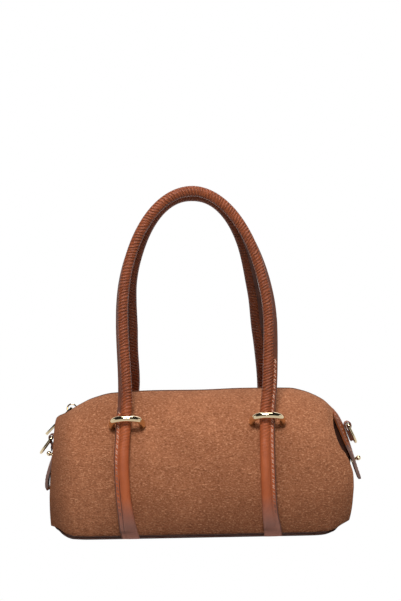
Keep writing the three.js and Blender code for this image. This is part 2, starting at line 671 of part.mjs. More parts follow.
// Leather tab: a strip whose edges bend in to the bag, with a hole for the stud's shank.
function tabGeometry({ tab, side, stud }) {
  const at = smoothTable(tab, 'z');
  const heights = range(15, tab[0].z, tab[tab.length - 1].z);
  const rings = heights.map((height) => {
    const inside = THREE.MathUtils.clamp(height, tab[tab.length - 1].z + 0.6, tab[0].z - 0.6);
    const { out } = tabFrame(tab, side, inside);
    const { x, half, cup } = at(height);
    const corner = (y, lift) => new THREE.Vector3(x, y, height).addScaledVector(out, lift);
    return [
      corner(-half, -TAB_HALF_THICK - cup),
      corner(-half, TAB_HALF_THICK - cup),
      corner(0, TAB_HALF_THICK),
      corner(half, TAB_HALF_THICK - cup),
      corner(half, -TAB_HALF_THICK - cup),
      corner(0, -TAB_HALF_THICK),
    ];
  });
  const { middle, out } = tabFrame(tab, side, stud);
  const hole = new THREE.CylinderGeometry(STUD_SHANK + 0.4, STUD_SHANK + 0.4, 12, 10);
  hole.applyQuaternion(new THREE.Quaternion().setFromUnitVectors(new THREE.Vector3(0, 1, 0), out));
  hole.translate(middle.x, middle.y, middle.z);
  return fromManifold(toManifold(loftBody(rings)).subtract(toManifold(hole)));
}

// Ball stud: ball, neck and shank, with a flat head behind the tab.
function studGeometry() {
  const back = -TAB_HALF_THICK - 0.4;
  const face = TAB_HALF_THICK + 0.3;
  const ball = face + 1.0 + BALL_RADIUS * 0.9;
  const profile = [
    new THREE.Vector2(0, back - 1.2),
    new THREE.Vector2(STUD_HEAD, back - 1.2),
    new THREE.Vector2(STUD_HEAD, back),
    new THREE.Vector2(STUD_SHANK, back),
    new THREE.Vector2(STUD_SHANK, face),
    new THREE.Vector2(2.1, face),
    new THREE.Vector2(1.8, face + 0.7),
    ...range(6, -0.85, Math.PI / 2).map(
      (turn) => new THREE.Vector2(BALL_RADIUS * Math.cos(turn), ball + BALL_RADIUS * Math.sin(turn)),
    ),
  ];
  profile[profile.length - 1].x = 0;
  return new THREE.LatheGeometry(profile, 10);
}

// Leather loop that holds a strap ring, seen along the bag's depth: a round eye and a strip below it.
function loopGeometry(length) {
  const outline = new THREE.Shape();
  outline.moveTo(-length, 0);
  outline.lineTo(0, 0);
  outline.absarc(0, LOOP_OUTER, LOOP_OUTER, -Math.PI / 2, Math.PI / 2, false);
  outline.quadraticCurveTo(-4, LOOP_OUTER * 2, -6, LOOP_STRIP);
  outline.lineTo(-length, LOOP_STRIP * 0.45);
  outline.closePath();
  const bore = new THREE.Path();
  bore.absarc(0, LOOP_OUTER, LOOP_BORE, 0, 2 * Math.PI, true);
  outline.holes.push(bore);
  const geometry = new THREE.ExtrudeGeometry(outline, {
    depth: 2 * LOOP_HALF,
    bevelEnabled: false,
    curveSegments: 8,
  });
  return geometry.translate(0, -LOOP_OUTER, -LOOP_HALF);
}

// Strap ring: a straight bar, two arms and a round end, hanging down from the bar.
function strapRingGeometry() {
  const path = [
    ...range(4, -RING_HALF + RING_CORNER, RING_HALF - RING_CORNER).map((y) => new THREE.Vector3(0, y, 0)),
    new THREE.Vector3(0, RING_HALF - 0.4, -0.4),
    new THREE.Vector3(0, RING_HALF, -RING_CORNER),
    ...range(13, 0, Math.PI).map(
      (turn) =>
        new THREE.Vector3(0, RING_HALF * Math.cos(turn), -RING_ARM - RING_HALF * Math.sin(turn)),
    ),
    new THREE.Vector3(0, -RING_HALF, -RING_CORNER),
    new THREE.Vector3(0, -RING_HALF + 0.4, -0.4),
  ];
  return wireBody(path, new THREE.Vector3(1, 0, 0), RING_WIRE, 6, true);
}

// Section of a handle: an oval roll with a flat fin at an angle, in the station's own frame.
function handleRing({ point, half, thick, fin, turn }, outward, frontward) {
  const angle = THREE.MathUtils.degToRad(turn);
  const oval = (a) => [half * Math.cos(a), thick * Math.sin(a)];
  const root = Math.hypot(...oval(angle));
  const tip = Math.min(FIN_HALF, thick * 0.4);
  const shape = range(8, angle + FIN_OPENING, angle + 2 * Math.PI - FIN_OPENING).map(oval);
  for (const side of [-1, 1]) {
    shape.push([
      Math.cos(angle) * (root + fin) - side * tip * Math.sin(angle),
      Math.sin(angle) * (root + fin) + side * tip * Math.cos(angle),
    ]);
  }
  return shape.map(([across, forward]) =>
    point.clone().addScaledVector(outward, across).addScaledVector(frontward, forward),
  );
}

// Stations of a front leg from its foot to the top of the arch, for the left (-1) or the right side.
function legStations(handle, side) {
  const { path, top } = handle;
  const leg = side < 0 ? 'left' : 'right';
  const legAt = smoothTable(LEG, 'z');
  const pathAt = smoothTable(path, 'z');
  const depthAt = smoothTable(FREE_DEPTH, 'z');
  const place = KEEPER_OFFSET / HALF_LENGTH;
  const stations = [0.6, 5].map((z) => ({ ...legAt(z), ...pathAt(z), depth: FOOT_DEPTH, z }));
  for (const share of range(11, ...LAID_SHARES)) {
    const wall = wallPoint(place, share);
    const section = legAt(wall.z);
    const centre = wall.addScaledVector(wallNormal(place, share), section.thick + HANDLE_GAP);
    stations.push({ ...section, ...pathAt(centre.z), depth: -centre.y, z: centre.z });
  }
  for (const z of range(9, FREE_DEPTH[0].z, ARCH_BASE - 9)) {
    stations.push({ ...legAt(z), ...pathAt(z), ...depthAt(z), z });
  }
  const square = (value) => Math.max(value, 0) ** (2 / handle[leg]);
  for (const turn of range(12, 0, Math.PI / 2)) {
    const z = ARCH_BASE + (top - ARCH_BASE) * square(Math.sin(turn));
    const out = pathAt(ARCH_BASE).out * square(Math.cos(turn));
    const depth = ARCH_DEPTH - ARCH_LEAN * Math.sin(turn);
    stations.push({ ...legAt(z), ...pathAt(z), out, depth, z });
  }
  return stations.map((station) => {
    const x = station.middle + side * station.out;
    return { ...station, turn: station[leg], point: new THREE.Vector3(x, -station.depth, station.z) };
  });
}

function handleGeometry(handle) {
  const rising = legStations(handle, -1);
  const falling = legStations(handle, 1).slice(0, -1).reverse();
  const stations = [...rising, ...falling];
  const front = new THREE.Vector3(0, -1, 0);
  const rings = stations.map((station, i) => {
    const before = stations[Math.max(i - 1, 0)].point;
    const after = stations[Math.min(i + 1, stations.length - 1)].point;
    const tangent = after.clone().sub(before);
    if (station.z < FOOT_TAB) tangent.set(0, 0, tangent.z);
    const outward = front.clone().cross(tangent).normalize();
    tangent.normalize();
    return handleRing(station, outward, tangent.clone().cross(outward));
  });
  const grid = handle.face < 0 ? rings : mirrorDepth(rings);
  return loftBody(grid);
}

addPiece('front_panel', panelGeometry(-1), suede());
addPiece('back_panel', panelGeometry(1), suede());
for (const gusset of GUSSETS) {
  addPiece(`${gusset.name}_gusset`, gussetGeometry(gusset), darkLeather());
}
addPiece('base_panel', baseGeometry(), darkLeather());
addPiece('front_welt', weltGeometry(-1), darkLeather());
addPiece('back_welt', weltGeometry(1), darkLeather());

const [tapeInner, tapeOuter] = TAPE_EDGES;
addPiece('zip_tape_front', zipStrip(-tapeOuter, -tapeInner, ZIP_DROP, ZIP_TAPE), tapeCloth());
addPiece('zip_tape_back', zipStrip(tapeInner, tapeOuter, ZIP_DROP, ZIP_TAPE), tapeCloth());
addPiece('zip_chain', zipStrip(-CHAIN_HALF, CHAIN_HALF, ZIP_DROP - CHAIN_PROUD, CHAIN_THICK), gold());

const slider = sliderFrame();
slider.translateZ(SLIDER_LIFT);
bag.add(slider);
addPiece('zip_slider', sliderGeometry(), gold(), slider);
const pullerFrame = new THREE.Group();
pullerFrame.position.set(0, 0, SLIDER_PLATE + PIN_HEIGHT);
pullerFrame.rotation.set(0, THREE.MathUtils.degToRad(180 - PULLER_DROP) - slider.rotation.y, 0);
slider.add(pullerFrame);
addPiece('zip_puller', pullerGeometry(), gold(), pullerFrame);

for (const fitting of FITTINGS) {
  const { name, side, tab, loop, length, stud, lean } = fitting;
  addPiece(`${name}_end_tab`, tabGeometry(fitting), handleLeather());

  const at = tabFrame(tab, side, loop);
  const eye = at.middle.clone().addScaledVector(at.out, TAB_HALF_THICK + EYE_HEIGHT);
  const loopFrame = new THREE.Group();
  loopFrame.position.copy(eye);
  const depthAxis = at.down.clone().negate().cross(at.out);
  loopFrame.quaternion.setFromRotationMatrix(
    new THREE.Matrix4().makeBasis(at.down.clone().negate(), at.out, depthAxis),
  );
  bag.add(loopFrame);
  addPiece(`${name}_ring_loop`, loopGeometry(length), handleLeather(), loopFrame);

  const ring = addPiece(`${name}_d_ring`, strapRingGeometry(), gold());
  ring.position.copy(eye);
  ring.rotation.y = -side * THREE.MathUtils.degToRad(lean);

  const place = tabFrame(tab, side, stud);
  const ball = addPiece(`${name}_stud`, studGeometry(), gold());
  ball.position.copy(place.middle);
  ball.quaternion.setFromUnitVectors(new THREE.Vector3(0, 1, 0), place.out);
}

for (const handle of HANDLES) {
  addPiece(handle.name, handleGeometry(handle), handleLeather());
}
for (const keeper of KEEPERS) {
  bag.add(keeper.frame);
  addPiece(keeper.name, keeperGeometry(), gold(), keeper.frame);
}

export default bag;
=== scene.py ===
"""Suede barrel shoulder bag: the finished look of every piece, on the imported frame.

Shapes are worked out in millimetres and scaled to metres when a piece is put in the scene.
X runs along the bag, the front is at -Y and Z is up.
"""

import math

import bmesh
import bpy
from mathutils import Matrix, Vector, noise


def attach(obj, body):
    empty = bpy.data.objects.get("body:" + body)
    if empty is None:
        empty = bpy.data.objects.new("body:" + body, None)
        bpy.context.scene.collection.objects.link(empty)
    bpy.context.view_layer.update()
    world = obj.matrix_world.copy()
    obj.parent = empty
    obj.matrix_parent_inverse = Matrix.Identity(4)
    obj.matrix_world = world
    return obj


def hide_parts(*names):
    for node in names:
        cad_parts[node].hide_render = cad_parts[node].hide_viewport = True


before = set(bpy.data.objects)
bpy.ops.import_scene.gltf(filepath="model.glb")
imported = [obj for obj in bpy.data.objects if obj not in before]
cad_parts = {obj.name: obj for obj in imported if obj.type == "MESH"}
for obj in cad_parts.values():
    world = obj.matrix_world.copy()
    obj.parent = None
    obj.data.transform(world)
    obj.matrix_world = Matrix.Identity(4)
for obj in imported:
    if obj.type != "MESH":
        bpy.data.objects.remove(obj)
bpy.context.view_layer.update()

MM = 0.001
SHARP_EDGE = 50  # degrees past which an edge is shaded sharp

# Body of the bag
HALF_LENGTH = 150
BULGE_HEIGHT = 50  # height of the widest line of the walls
CROWN_POWER = 2.15  # how square the upper half of the cross-section is
LOWER_SHARE = 0.36  # share of the profile below the widest line
END_SHAPED = 0.6  # place along the bag from which its ends shape the walls
CROWDING = 0.62  # how much closer together points lie near the ends
SUEDE = 2.0
SUEDE_ROUNDING = 0.7
# Slack of the suede: length along the bag, height and depth of its swellings
SLACK_BROAD = (48, 40, 0.9)
SLACK_CLOSE = (17, 15, 0.25)
DIMPLE_DEPTH = 1.1  # where a keeper's post draws the suede in
DIMPLE_REACH = 6.5
LINING_GAP = 0.5
SLIT = 6.2
GUSSET_WALL = 1.6
GUSSET_PLACE = 0.975
GUSSET_FOOT = 2.4
GUSSET_WRINKLE = 0.5
GUSSET_SWELL = (14, 40)
GUSSET_SINK = (84, 122)
BASE_WALL = 1.8
BASE_LIP = 3.0
BASE_TUCK = 3.0
BASE_END = 0.985
# Places between which the base goes in under the walls, and then up between them
BASE_TURN = {"left": (0.88, 0.95), "right": (0.82, 0.9)}
BASE_LIFT = {"left": (0.95, 0.972), "right": (0.9, 0.93)}
FOOT_HEIGHT = BASE_WALL + 0.4
WELT_RADIUS = 0.75
WELT_OUT = 2.0
WELT_UP = 0.55
WELT_ENDS = (-0.89, 0.86)

# Zip
ZIP_ENDS = (-0.945, 0.9)
ZIP_DROP = 3.1
ZIP_DIP = 3.5
ZIP_DIP_PLACES = (0.75, 0.96)  # places to the left between which it sinks
ZIP_TAPE = 1.0
TAPE_EDGES = (2.5, 8.4)
TOOTH_PITCH = 1.5
TOOTH_SIZE = (1.29, 2.6, 2.0)
TOOTH_ROUNDING = 0.28
TOOTH_ASIDE = 0.75
TOOTH_DROP = 0.4
SLIDER_PLACE = -0.893
SLIDER_LENGTH = 12
SLIDER_HALF = 4.2
SLIDER_PLATE = 1.6
SLIDER_LIFT = -1.4
SLIDER_NOSE = 0.4  # share by which its nose is narrower
BAIL_WIRE = 0.8
BAIL_REACH = 5.0
BAIL_HEIGHT = 7.2

# Handles and keepers
HANDLE_CENTRE = -2.7
HANDLE_GAP = 0.6
FOOT_DEPTH = 53.4
FOOT_TAB = 6
LAID_SHARES = (0.075, 0.572)
ARCH_BASE = 217
ARCH_DEPTH = 49
ARCH_LEAN = 3
FIN_HALF = 1.1
FIN_OPENING = 0.3  # half the angle of the roll that the fin's root takes up
FIN_SHARE = 0.16  # share of a handle's outline on each side of its fin
FIN_SEEN = 350  # turn of the fin below which it points away from the front
FIN_PAINTED = 0.2  # painted share of the fin where it points sideways
FIN_SHADE_TURNED = 0.85  # and where it is turned away, where the dark edge colour over most of the fin is painted shade
CREASE_SHADE_FOOT = 8  # height at which the painted shade in the crease of the left legs, between fin and roll, starts
CREASE_SHADE_TOP = 62
ROLL_GIRTH = 44  # way round a handle and its fin
KEEPER_OFFSET = 70.4
KEEPER_PLACE = 0.648
KEEPER_HALF = 15.2
KEEPER_DEPTH = 19.5
KEEPER_BOW = 17
KEEPER_SQUARENESS = 2.6
KEEPER_WIRE = 3.2
KEEPER_POST = 3.6
STITCH_PITCH = 3.2
STITCH_LENGTH = 3.1
STITCH_RADIUS = 0.55
STITCH_SLANT = 0.9
STITCH_PLACE = 0.4  # share of the fin's width at which the stitches lie
SEAM_FOOT = 26  # height at which the seams of the fins end

# End tabs, strap rings and studs
TAB_HALF_THICK = 1.5
TAB_CUP = 0.35  # least that the edges of a tab bend in
TAB_CUP_POWER = 1.6
TAB_EDGE = 0.7  # width of the painted edge
TAB_STITCH_PITCH = 3.4
TAB_STITCH_LENGTH = 2.3
TAB_STITCH_RADIUS = 0.36
TAB_SEAM_INSET = 2.2
TAB_SEAM_FOOT = 4  # how far from the tip and from the top the seams end
TAB_SEAM_TOP = 12
RING_WIRE = 1.5
RING_HALF = 8.5
RING_ARM = 11.5
RING_CORNER = 1.6
LOOP_HALF = 6.5
LOOP_OUTER = 3.6
LOOP_STRIP = 1.3
EYE_HEIGHT = LOOP_OUTER + 0.35
BALL_RADIUS = 2.6
STUD_SHANK = 1.1
STUD_HEAD = 2.6

# Cross-sections along the bag: place, ridge height, half depth, half depth at the foot, rise of the foot
SECTIONS = (
    (-1.0, 121.0, 43.0, 34.0, 10.2),
    (-0.95, 124.6, 50.2, 39.4, 8.4),
    (-0.91, 128.0, 54.0, 42.6, 3.8),
    (-0.85, 132.8, 57.5, 45.0, 0.4),
    (-0.75, 139.2, 60.5, 47.5, 0.0),
    (-0.6, 144.2, 63.0, 48.0, 0.0),
    (-0.3, 146.0, 64.0, 48.0, 0.0),
    (0.0, 145.7, 64.2, 48.0, 0.0),
    (0.3, 146.7, 64.0, 48.0, 0.0),
    (0.62, 146.0, 62.5, 48.0, 0.0),
    (0.75, 142.8, 60.0, 47.5, 0.0),
    (0.85, 138.8, 57.0, 45.0, 0.4),
    (0.91, 135.4, 54.3, 42.6, 2.6),
    (0.95, 132.2, 52.0, 40.2, 6.4),
    (1.0, 125.4, 47.0, 36.0, 10.4),
)
# End edges of the suede: height, left edge, right edge
ENDS = (
    (0, -152.2, 145.4),
    (14, -153.8, 150.4),
    (27, -154.0, 152.6),
    (38, -153.9, 153.6),
    (50, -153.4, 154.4),
    (60, -152.6, 154.2),
    (71, -151.7, 151.5),
    (81, -151.0, 147.0),
    (88, -150.5, 142.2),
    (98, -149.7, 138.4),
    (110, -149.3, 136.2),
    (118, -148.7, 136.5),
    (125, -146.8, 137.0),
)
# Gussets: side, how far up the profile they go, sink of the middle, and rows of
# height, middle line, depth of the folds beside it
GUSSETS = {
    "left": (-1, 0.85, 14, (
        (10, -149.0, 0),
        (25, -152.6, 0),
        (38, -155.6, 0),
        (48, -157.2, 1),
        (58, -156.8, 3),
        (68, -154.0, 5),
        (79, -149.6, 8),
        (90, -146.2, 11),
        (100, -143.6, 13),
        (120, -138.0, 13),
    )),
    "right": (1, 0.95, 5, (
        (10, 147.0, 0),
        (25, 150.2, 0),
        (45, 153.4, 1),
        (60, 154.8, 4),
        (70, 155.8, 7),
        (80, 154.0, 10),
        (90, 150.9, 13),
        (100, 147.4, 14),
        (110, 142.8, 13),
        (121, 135.4, 9),
    )),
}
# End tabs from the tip up: height, middle line, half width, how far the edges bend in
TABS = {
    "left": (
        (44.8, -159.0, 6.4, 0.0),
        (50.0, -160.3, 8.6, 0.0),
        (56.0, -160.0, 9.4, 0.2),
        (66.5, -157.6, 10.0, 0.6),
        (79.0, -153.3, 10.0, 1.0),
        (90.0, -150.2, 10.0, 1.2),
        (100.0, -148.0, 10.0, 1.2),
        (107.0, -146.0, 9.0, 1.0),
        (111.4, -142.4, 5.4, 0.6),
        (114.4, -138.0, 4.4, 0.4),
    ),
    "right": (
        (50.5, 165.0, 7.0, 0.0),
        (60.5, 161.8, 9.6, 0.2),
        (72.0, 158.6, 10.0, 0.8),
        (84.6, 155.0, 10.0, 2.8),
        (96.0, 151.3, 10.0, 4.2),
        (107.4, 147.2, 10.0, 4.6),
        (116.4, 142.7, 10.0, 4.2),
        (122.8, 137.6, 6.4, 2.6),
        (127.6, 131.5, 4.6, 1.4),
        (130.8, 125.6, 4.4, 0.6),
    ),
}
# Fittings of the tabs: side, height of the loop, its length, height of the stud, lean of the ring
FITTINGS = {
    "left": (-1, 98.5, 11, 81.2, 37),
    "right": (1, 105, 17, 70.6, 24),
}
# Leg of a handle: height, half width, half thickness, width of the fin, turn of the fin in degrees on the
# left and the right leg
LEG = (
    (0, 6.8, 1.6, 4.6, 360, 360),
    (9, 6.6, 1.9, 4.6, 360, 360),
    (13, 6.4, 2.4, 4.6, 360, 360),
    (18, 6.1, 3.2, 4.6, 360, 360),
    (26, 5.7, 4.2, 4.5, 360, 360),
    (40, 5.3, 5.3, 4.5, 360, 360),
    (110, 5.3, 5.3, 4.4, 360, 360),
    (140, 5.3, 5.3, 4.4, 341, 360),
    (165, 5.3, 5.3, 4.4, 330, 355),
    (206, 5.3, 5.3, 4.4, 321, 339),
    (244, 5.3, 5.3, 4.4, 314, 325),
    (264, 5.3, 5.3, 4.4, 309, 317),
    (310, 5.3, 5.3, 4.2, 295, 297),
    (351, 5.3, 5.3, 4.0, 282, 282),
)
# Paths of the handles: height, legs from the handle's middle, that middle along the bag
PATHS = {
    "front": (
        (0, 69.2, 0.2),
        (10, 70.0, -1.5),
        (24, 69.8, -3.4),
        (50, 70.3, -5.3),
        (78, 70.6, -6.0),
        (108, 69.9, -5.0),
        (130, 69.7, -3.5),
        (150, 70.7, -2.2),
        (168, 71.6, -2.0),
        (217, 73.4, -2.2),
        (270, 73.4, -3.4),
        (351, 73.4, -3.7),
    ),
    "back": (
        (0, 69.2, -2.7),
        (24, 69.8, -2.7),
        (118, 69.9, -2.4),
        (153, 68.2, -0.9),
        (188, 67.4, -2.8),
        (217, 65.8, -4.4),
        (240, 65.8, -5.6),
        (266, 65.8, -7.0),
        (300, 65.8, -6.1),
        (351, 65.8, -5.1),
    ),
}
# Free part of a leg above its keeper: height, distance from the bag's middle
FREE_DEPTH = (
    (118, 58.2),
    (140, 54.6),
    (163, 52.0),
    (217, 49.0),
)
# Handles: height of the top, how square the arch is at its left and right (2 is an ellipse)
HANDLES = {
    "front": (349.3, (2.0, 1.93)),
    "back": (350.5, (2.15, 2.2)),
}

# Colours of the finishes: red, green and blue
SUEDE_COLOURS = {
    "dark": (0.330, 0.120, 0.055),
    "light": (0.448, 0.175, 0.083),
    "shade": (0.235, 0.080, 0.035),
    "brush_mark": (0.270, 0.096, 0.043),
    "pit": (0.125, 0.040, 0.017),
    "fleck": (0.700, 0.340, 0.185),
    # painted shade where the left end of the wall turns away from the light
    "left_end": (0.160, 0.055, 0.025),
    "zip_rim": (0.060, 0.020, 0.010),
}
# The handles' dark and light colours are a shaded copy of the leather for above the keepers, and the two low
# colours a lit copy for below them: painted shade and painted light
ROLL_COLOURS = {
    "dark": (0.225, 0.049, 0.014),
    "light": (0.325, 0.077, 0.023),
    "lit_low_dark": (0.370, 0.082, 0.024),
    "lit_low_light": (0.505, 0.124, 0.038),
    # dust and painted light: the feet, which face downwards, are made paler
    "dust_and_painted_light": (0.390, 0.185, 0.140),
    "foot": (0.120, 0.050, 0.036),
    # painted shade in the valleys between the wrinkles
    "crease": (0.090, 0.018, 0.006),
    # rib crests made lighter: partly wear, partly painted highlight
    "rub": (0.520, 0.180, 0.075),
}
TAB_COLOURS = {"dark": (0.25, 0.062, 0.020), "light": (0.37, 0.102, 0.034), "rub": (0.48, 0.185, 0.085)}
DARK_COLOURS = {"dark": (0.032, 0.010, 0.006), "light": (0.062, 0.020, 0.011), "rub": (0.14, 0.060, 0.036)}
EDGE_COLOURS = {"dark": (0.165, 0.088, 0.070), "light": (0.27, 0.160, 0.132)}
# edge paint of the fins and loops, also used as painted shade in the left legs' crease and on the turned-away
# fins
FIN_EDGE_AND_SHADE_COLOURS = {"dark": (0.090, 0.026, 0.013), "light": (0.160, 0.050, 0.025)}
TAPE_COLOURS = {"dark": (0.055, 0.020, 0.010), "light": (0.095, 0.036, 0.018), "rib": (0.17, 0.072, 0.038)}
GOLD_COLOURS = {"dark": (0.76, 0.60, 0.36), "light": (0.84, 0.69, 0.45), "rub": (0.90, 0.80, 0.62)}
# the thread's darkest colour is painted shade on the low stitches
THREAD_COLOURS = {"dark": (0.46, 0.215, 0.130), "light": (0.80, 0.52, 0.39), "low_stitch_shade": (0.140, 0.038, 0.018)}
PAPER_COLOURS = {"dark": (0.30, 0.30, 0.30), "light": (0.34, 0.34, 0.34)}

# Places on the bag between which a colour fades, in metres
LEFT_END_SHADE = (-0.152, -0.128)
ZIP_RIM_SHADE = ((SLIT + 0.9) * MM, (SLIT + 1.9) * MM)
RIBBED_HEIGHTS = (0.08, 0.15)
# heights over which the handles go from their painted light below to their painted shade above
LIT_LOWER_HEIGHTS = (0.105, 0.15)
# heights over which the dust and painted light on the feet fade out
DUST_AND_LIGHT_HEIGHTS = (0.015, 0.045)
# heights over which the very bottom of the feet is darker
FOOT_DARKENING_HEIGHTS = (0.004, 0.011)
# heights over which the painted shade on the thread fades out
THREAD_SHADE_HEIGHTS = (0.049, 0.069)
THREAD_SHADE_SLANT = 0.2  # how much higher the painted shade on the thread reaches for each step to the left
RIB_SLANT = 20  # degrees

# Photo's camera and stage, in metres
CAMERA_PLACE = (0.003, -1.560, 0.2387)
CAMERA_LENS = 89.85
CAMERA_ROLL = 1.1  # degrees
FLOOR_WIDTH = 8
FLOOR_FRONT = -2.6
FLOOR_FLAT = 3.6
FLOOR_BEND = 0.8  # radius with which the floor turns up
FLOOR_RUN = 6.0  # way along the floor and up the backdrop
# Lights: place, height of the point aimed at, width and height of the lamp, power in watts
LIGHTS = {
    "key_light": ((-0.12, -1.5, 1.4), 0.17, 0.6, 0.45, 31),
    "top_light": ((0.0, -0.15, 1.7), 0.2, 1.0, 0.4, 10),
    "back_light": ((0.3, 1.6, 1.3), 0.2, 1.2, 0.8, 6),
}


def clamp(value, low=0.0, high=1.0):
    return max(low, min(high, value))


def ease(value, start, end):
    """0 before start, 1 after end, smooth between."""
    t = clamp((value - start) / (end - start))
    return t * t * (3 - 2 * t)


def spread(count, start, end):
    return [start + (end - start) * i / (count - 1) for i in range(count)]


def curve_through(rows, tangents):
    """Curve through rows of numbers: gives the other columns at a value of the first one."""

    def at(value):
        i = 0
        while i < len(rows) - 2 and rows[i + 1][0] <= value:
            i += 1
        step = rows[i + 1][0] - rows[i][0]
        t = clamp((value - rows[i][0]) / step)
        rise = t * t * (3 - 2 * t)
        start = step * t * (1 - t) ** 2
        end = step * t * t * (1 - t)
        columns = zip(rows[i][1:], rows[i + 1][1:], tangents[i], tangents[i + 1])
        return [a + (b - a) * rise + ta * start - tb * end for a, b, ta, tb in columns]

    return at


def slopes_between(before, after):
    return [(b - a) / (after[0] - before[0]) for a, b in zip(before[1:], after[1:])]


def smooth_table(rows):
    """Smooth curve through rows of numbers that never goes past them."""
    slopes = [slopes_between(before, after) for before, after in zip(rows, rows[1:])]
    tangents = [slopes[0]]
    for before, after in zip(slopes, slopes[1:]):
        tangents.append([0 if a * b <= 0 else 2 * a * b / (a + b) for a, b in zip(before, after)])
    return curve_through(rows, [*tangents, slopes[-1]])


def smooth_curve(rows):
    """Round curve through rows of numbers; unlike a smooth table it may go past them."""
    last = len(rows) - 1
    tangents = [slopes_between(rows[max(i - 1, 0)], rows[min(i + 1, last)]) for i in range(len(rows))]
    return curve_through(rows, tangents)


section_at = smooth_table(SECTIONS)
ends_at = smooth_table(ENDS)
leg_at = smooth_table(LEG)
free_depth_at = smooth_table(FREE_DEPTH)


def wall_point(place, share):
    """Outer face of the front wall: place along the bag from -1 to 1, share from the foot up to the ridge."""
    ridge, depth, base, rise = section_at(place)
    foot = FOOT_HEIGHT + rise
    if share < LOWER_SHARE:
        t = share / LOWER_SHARE
        y = depth - (depth - base) * (1 - t) ** 2
        z = foot + (BULGE_HEIGHT - foot) * t
    else:
        angle = (share - LOWER_SHARE) / (1 - LOWER_SHARE) * math.pi / 2
        power = 2 / CROWN_POWER
        y = SLIT + (depth - SLIT) * max(math.cos(angle), 0) ** power
        z = BULGE_HEIGHT + (ridge - BULGE_HEIGHT) * max(math.sin(angle), 0) ** power
    left, right = ends_at(z)
    straight = math.copysign(HALF_LENGTH, place)
    edge = left if place < 0 else right
    x = HALF_LENGTH * place + (edge - straight) * ease(abs(place), END_SHAPED, 1)
    return Vector((x, -y, z))


def wall_normal(place, share):
    step = 1e-3
    along = wall_point(place + step, share) - wall_point(place - step, share)
    up = wall_point(place, share + step) - wall_point(place, share - step)
    return along.cross(up).normalized()


def zip_point(place):
    """Middle of the zip: it follows the ridge and sinks between the walls at the left end."""
    ridge = wall_point(place, 1)
    return Vector((ridge.x, 0, ridge.z - ZIP_DIP * ease(-place, *ZIP_DIP_PLACES)))


def camera_at_photo():
    """Level camera far in front of the bag, turned a little about its own axis."""
    data = bpy.data.cameras.new("photo_camera")
    data.sensor_width = 36
    data.lens = CAMERA_LENS
    data.clip_start = 0.05
    camera = bpy.data.objects.new("photo_camera", data)
    camera.location = CAMERA_PLACE
    camera.rotation_euler = (math.radians(90), math.radians(CAMERA_ROLL), 0)
    bpy.context.collection.objects.link(camera)
    bpy.context.scene.camera = camera


def formed_sheet(columns, rows, place, size=(1, 1)):
    """Flat sheet taken to its place: place(across, up) gives a point for two numbers from 0 to 1.

    Its UV map is in metres; size is the sheet's width and height in millimetres.
    """
    shape = bmesh.new()
    surface = shape.loops.layers.uv.new("surface")
    bmesh.ops.create_grid(shape, x_segments=columns, y_segments=rows, size=0.5, calc_uvs=True)
    for face in shape.faces:
        for corner in face.loops:
            across, up = corner[surface].uv
            corner[surface].uv = (across * size[0] * MM, up * size[1] * MM)
    for point in shape.verts:
        point.co = place(point.co.x + 0.5, point.co.y + 0.5)
    shape.normal_update()
    return shape


def closed_tube(shape):
    """Joins the two long edges of a rolled sheet and closes its ends."""
    bmesh.ops.remove_doubles(shape, verts=shape.verts, dist=1e-3)
    rims = [edge for edge in shape.edges if edge.is_boundary]
    if rims:
        bmesh.ops.holes_fill(shape, edges=rims, sides=0)
    bmesh.ops.recalc_face_normals(shape, faces=shape.faces)
    return shape


def thicken(shape, thickness, rounding, segments=3):
    """Gives a sheet its thickness behind its face and rounds the cut edges."""
    bmesh.ops.solidify(shape, geom=shape.faces[:], thickness=thickness)
    shape.normal_update()
    round_edges(shape, rounding, segments, 60)
    return shape


def round_edges(shape, rounding, segments, sharper_than):
    limit = math.radians(sharper_than)
    sharp = [edge for edge in shape.edges if len(edge.link_faces) == 2 and edge.calc_face_angle() > limit]
    bmesh.ops.bevel(
        shape,
        geom=sharp,
        offset=rounding,
        offset_type="OFFSET",
        affect="EDGES",
        segments=segments,
        profile=0.5,
        material=-1,
        clamp_overlap=True,
    )


def path_frames(path, flat, closed):
    """Frames along a path: Z along it, Y near the direction called flat."""
    frames = []
    count = len(path)
    for i, point in enumerate(path):
        before = path[i - 1] if closed or i > 0 else point
        after = path[(i + 1) % count] if closed or i < count - 1 else point
        along = (after - before).normalized()
        across = flat.cross(along).normalized()
        up = along.cross(across)
        turn = Matrix((across, up, along)).transposed().to_4x4()
        frames.append(Matrix.Translation(point) @ turn)
    return frames


def wire(path, flat, radius, sides, closed=False, shape=None):
    """Round wire: a circle pushed along a path."""
    shape = shape or bmesh.new()
    frames = path_frames(path, flat, closed)
    made = bmesh.ops.create_circle(
        shape, cap_ends=not closed, radius=radius, segments=sides, matrix=frames[0]
    )
    ring = list({edge for point in made["verts"] for edge in point.link_edges})
    first = ring
    for before, after in zip(frames, frames[1:]):
        pushed = bmesh.ops.extrude_edge_only(shape, edges=ring)["geom"]
        points = [item for item in pushed if isinstance(item, bmesh.types.BMVert)]
        ends = set(points)
        ring = [
            item
            for item in pushed
            if isinstance(item, bmesh.types.BMEdge) and set(item.verts) <= ends
        ]
        bmesh.ops.transform(shape, matrix=after @ before.inverted(), verts=points)
    if closed:
        bmesh.ops.bridge_loops(shape, edges=first + ring)
    else:
        bmesh.ops.edgeloop_fill(shape, edges=ring)
    bmesh.ops.recalc_face_normals(shape, faces=shape.faces)
    return shape


def new_object(name, shape, finishes):
    """Puts a shape in the scene as a smooth mesh with its finishes."""
    mesh = bpy.data.meshes.new(name)
    shape.to_mesh(mesh)
    shape.free()
    for finish in finishes:
        mesh.materials.append(finish)
    mesh.shade_smooth()
    made = bpy.data.objects.new(name, mesh)
    bpy.context.collection.objects.link(made)
    return made


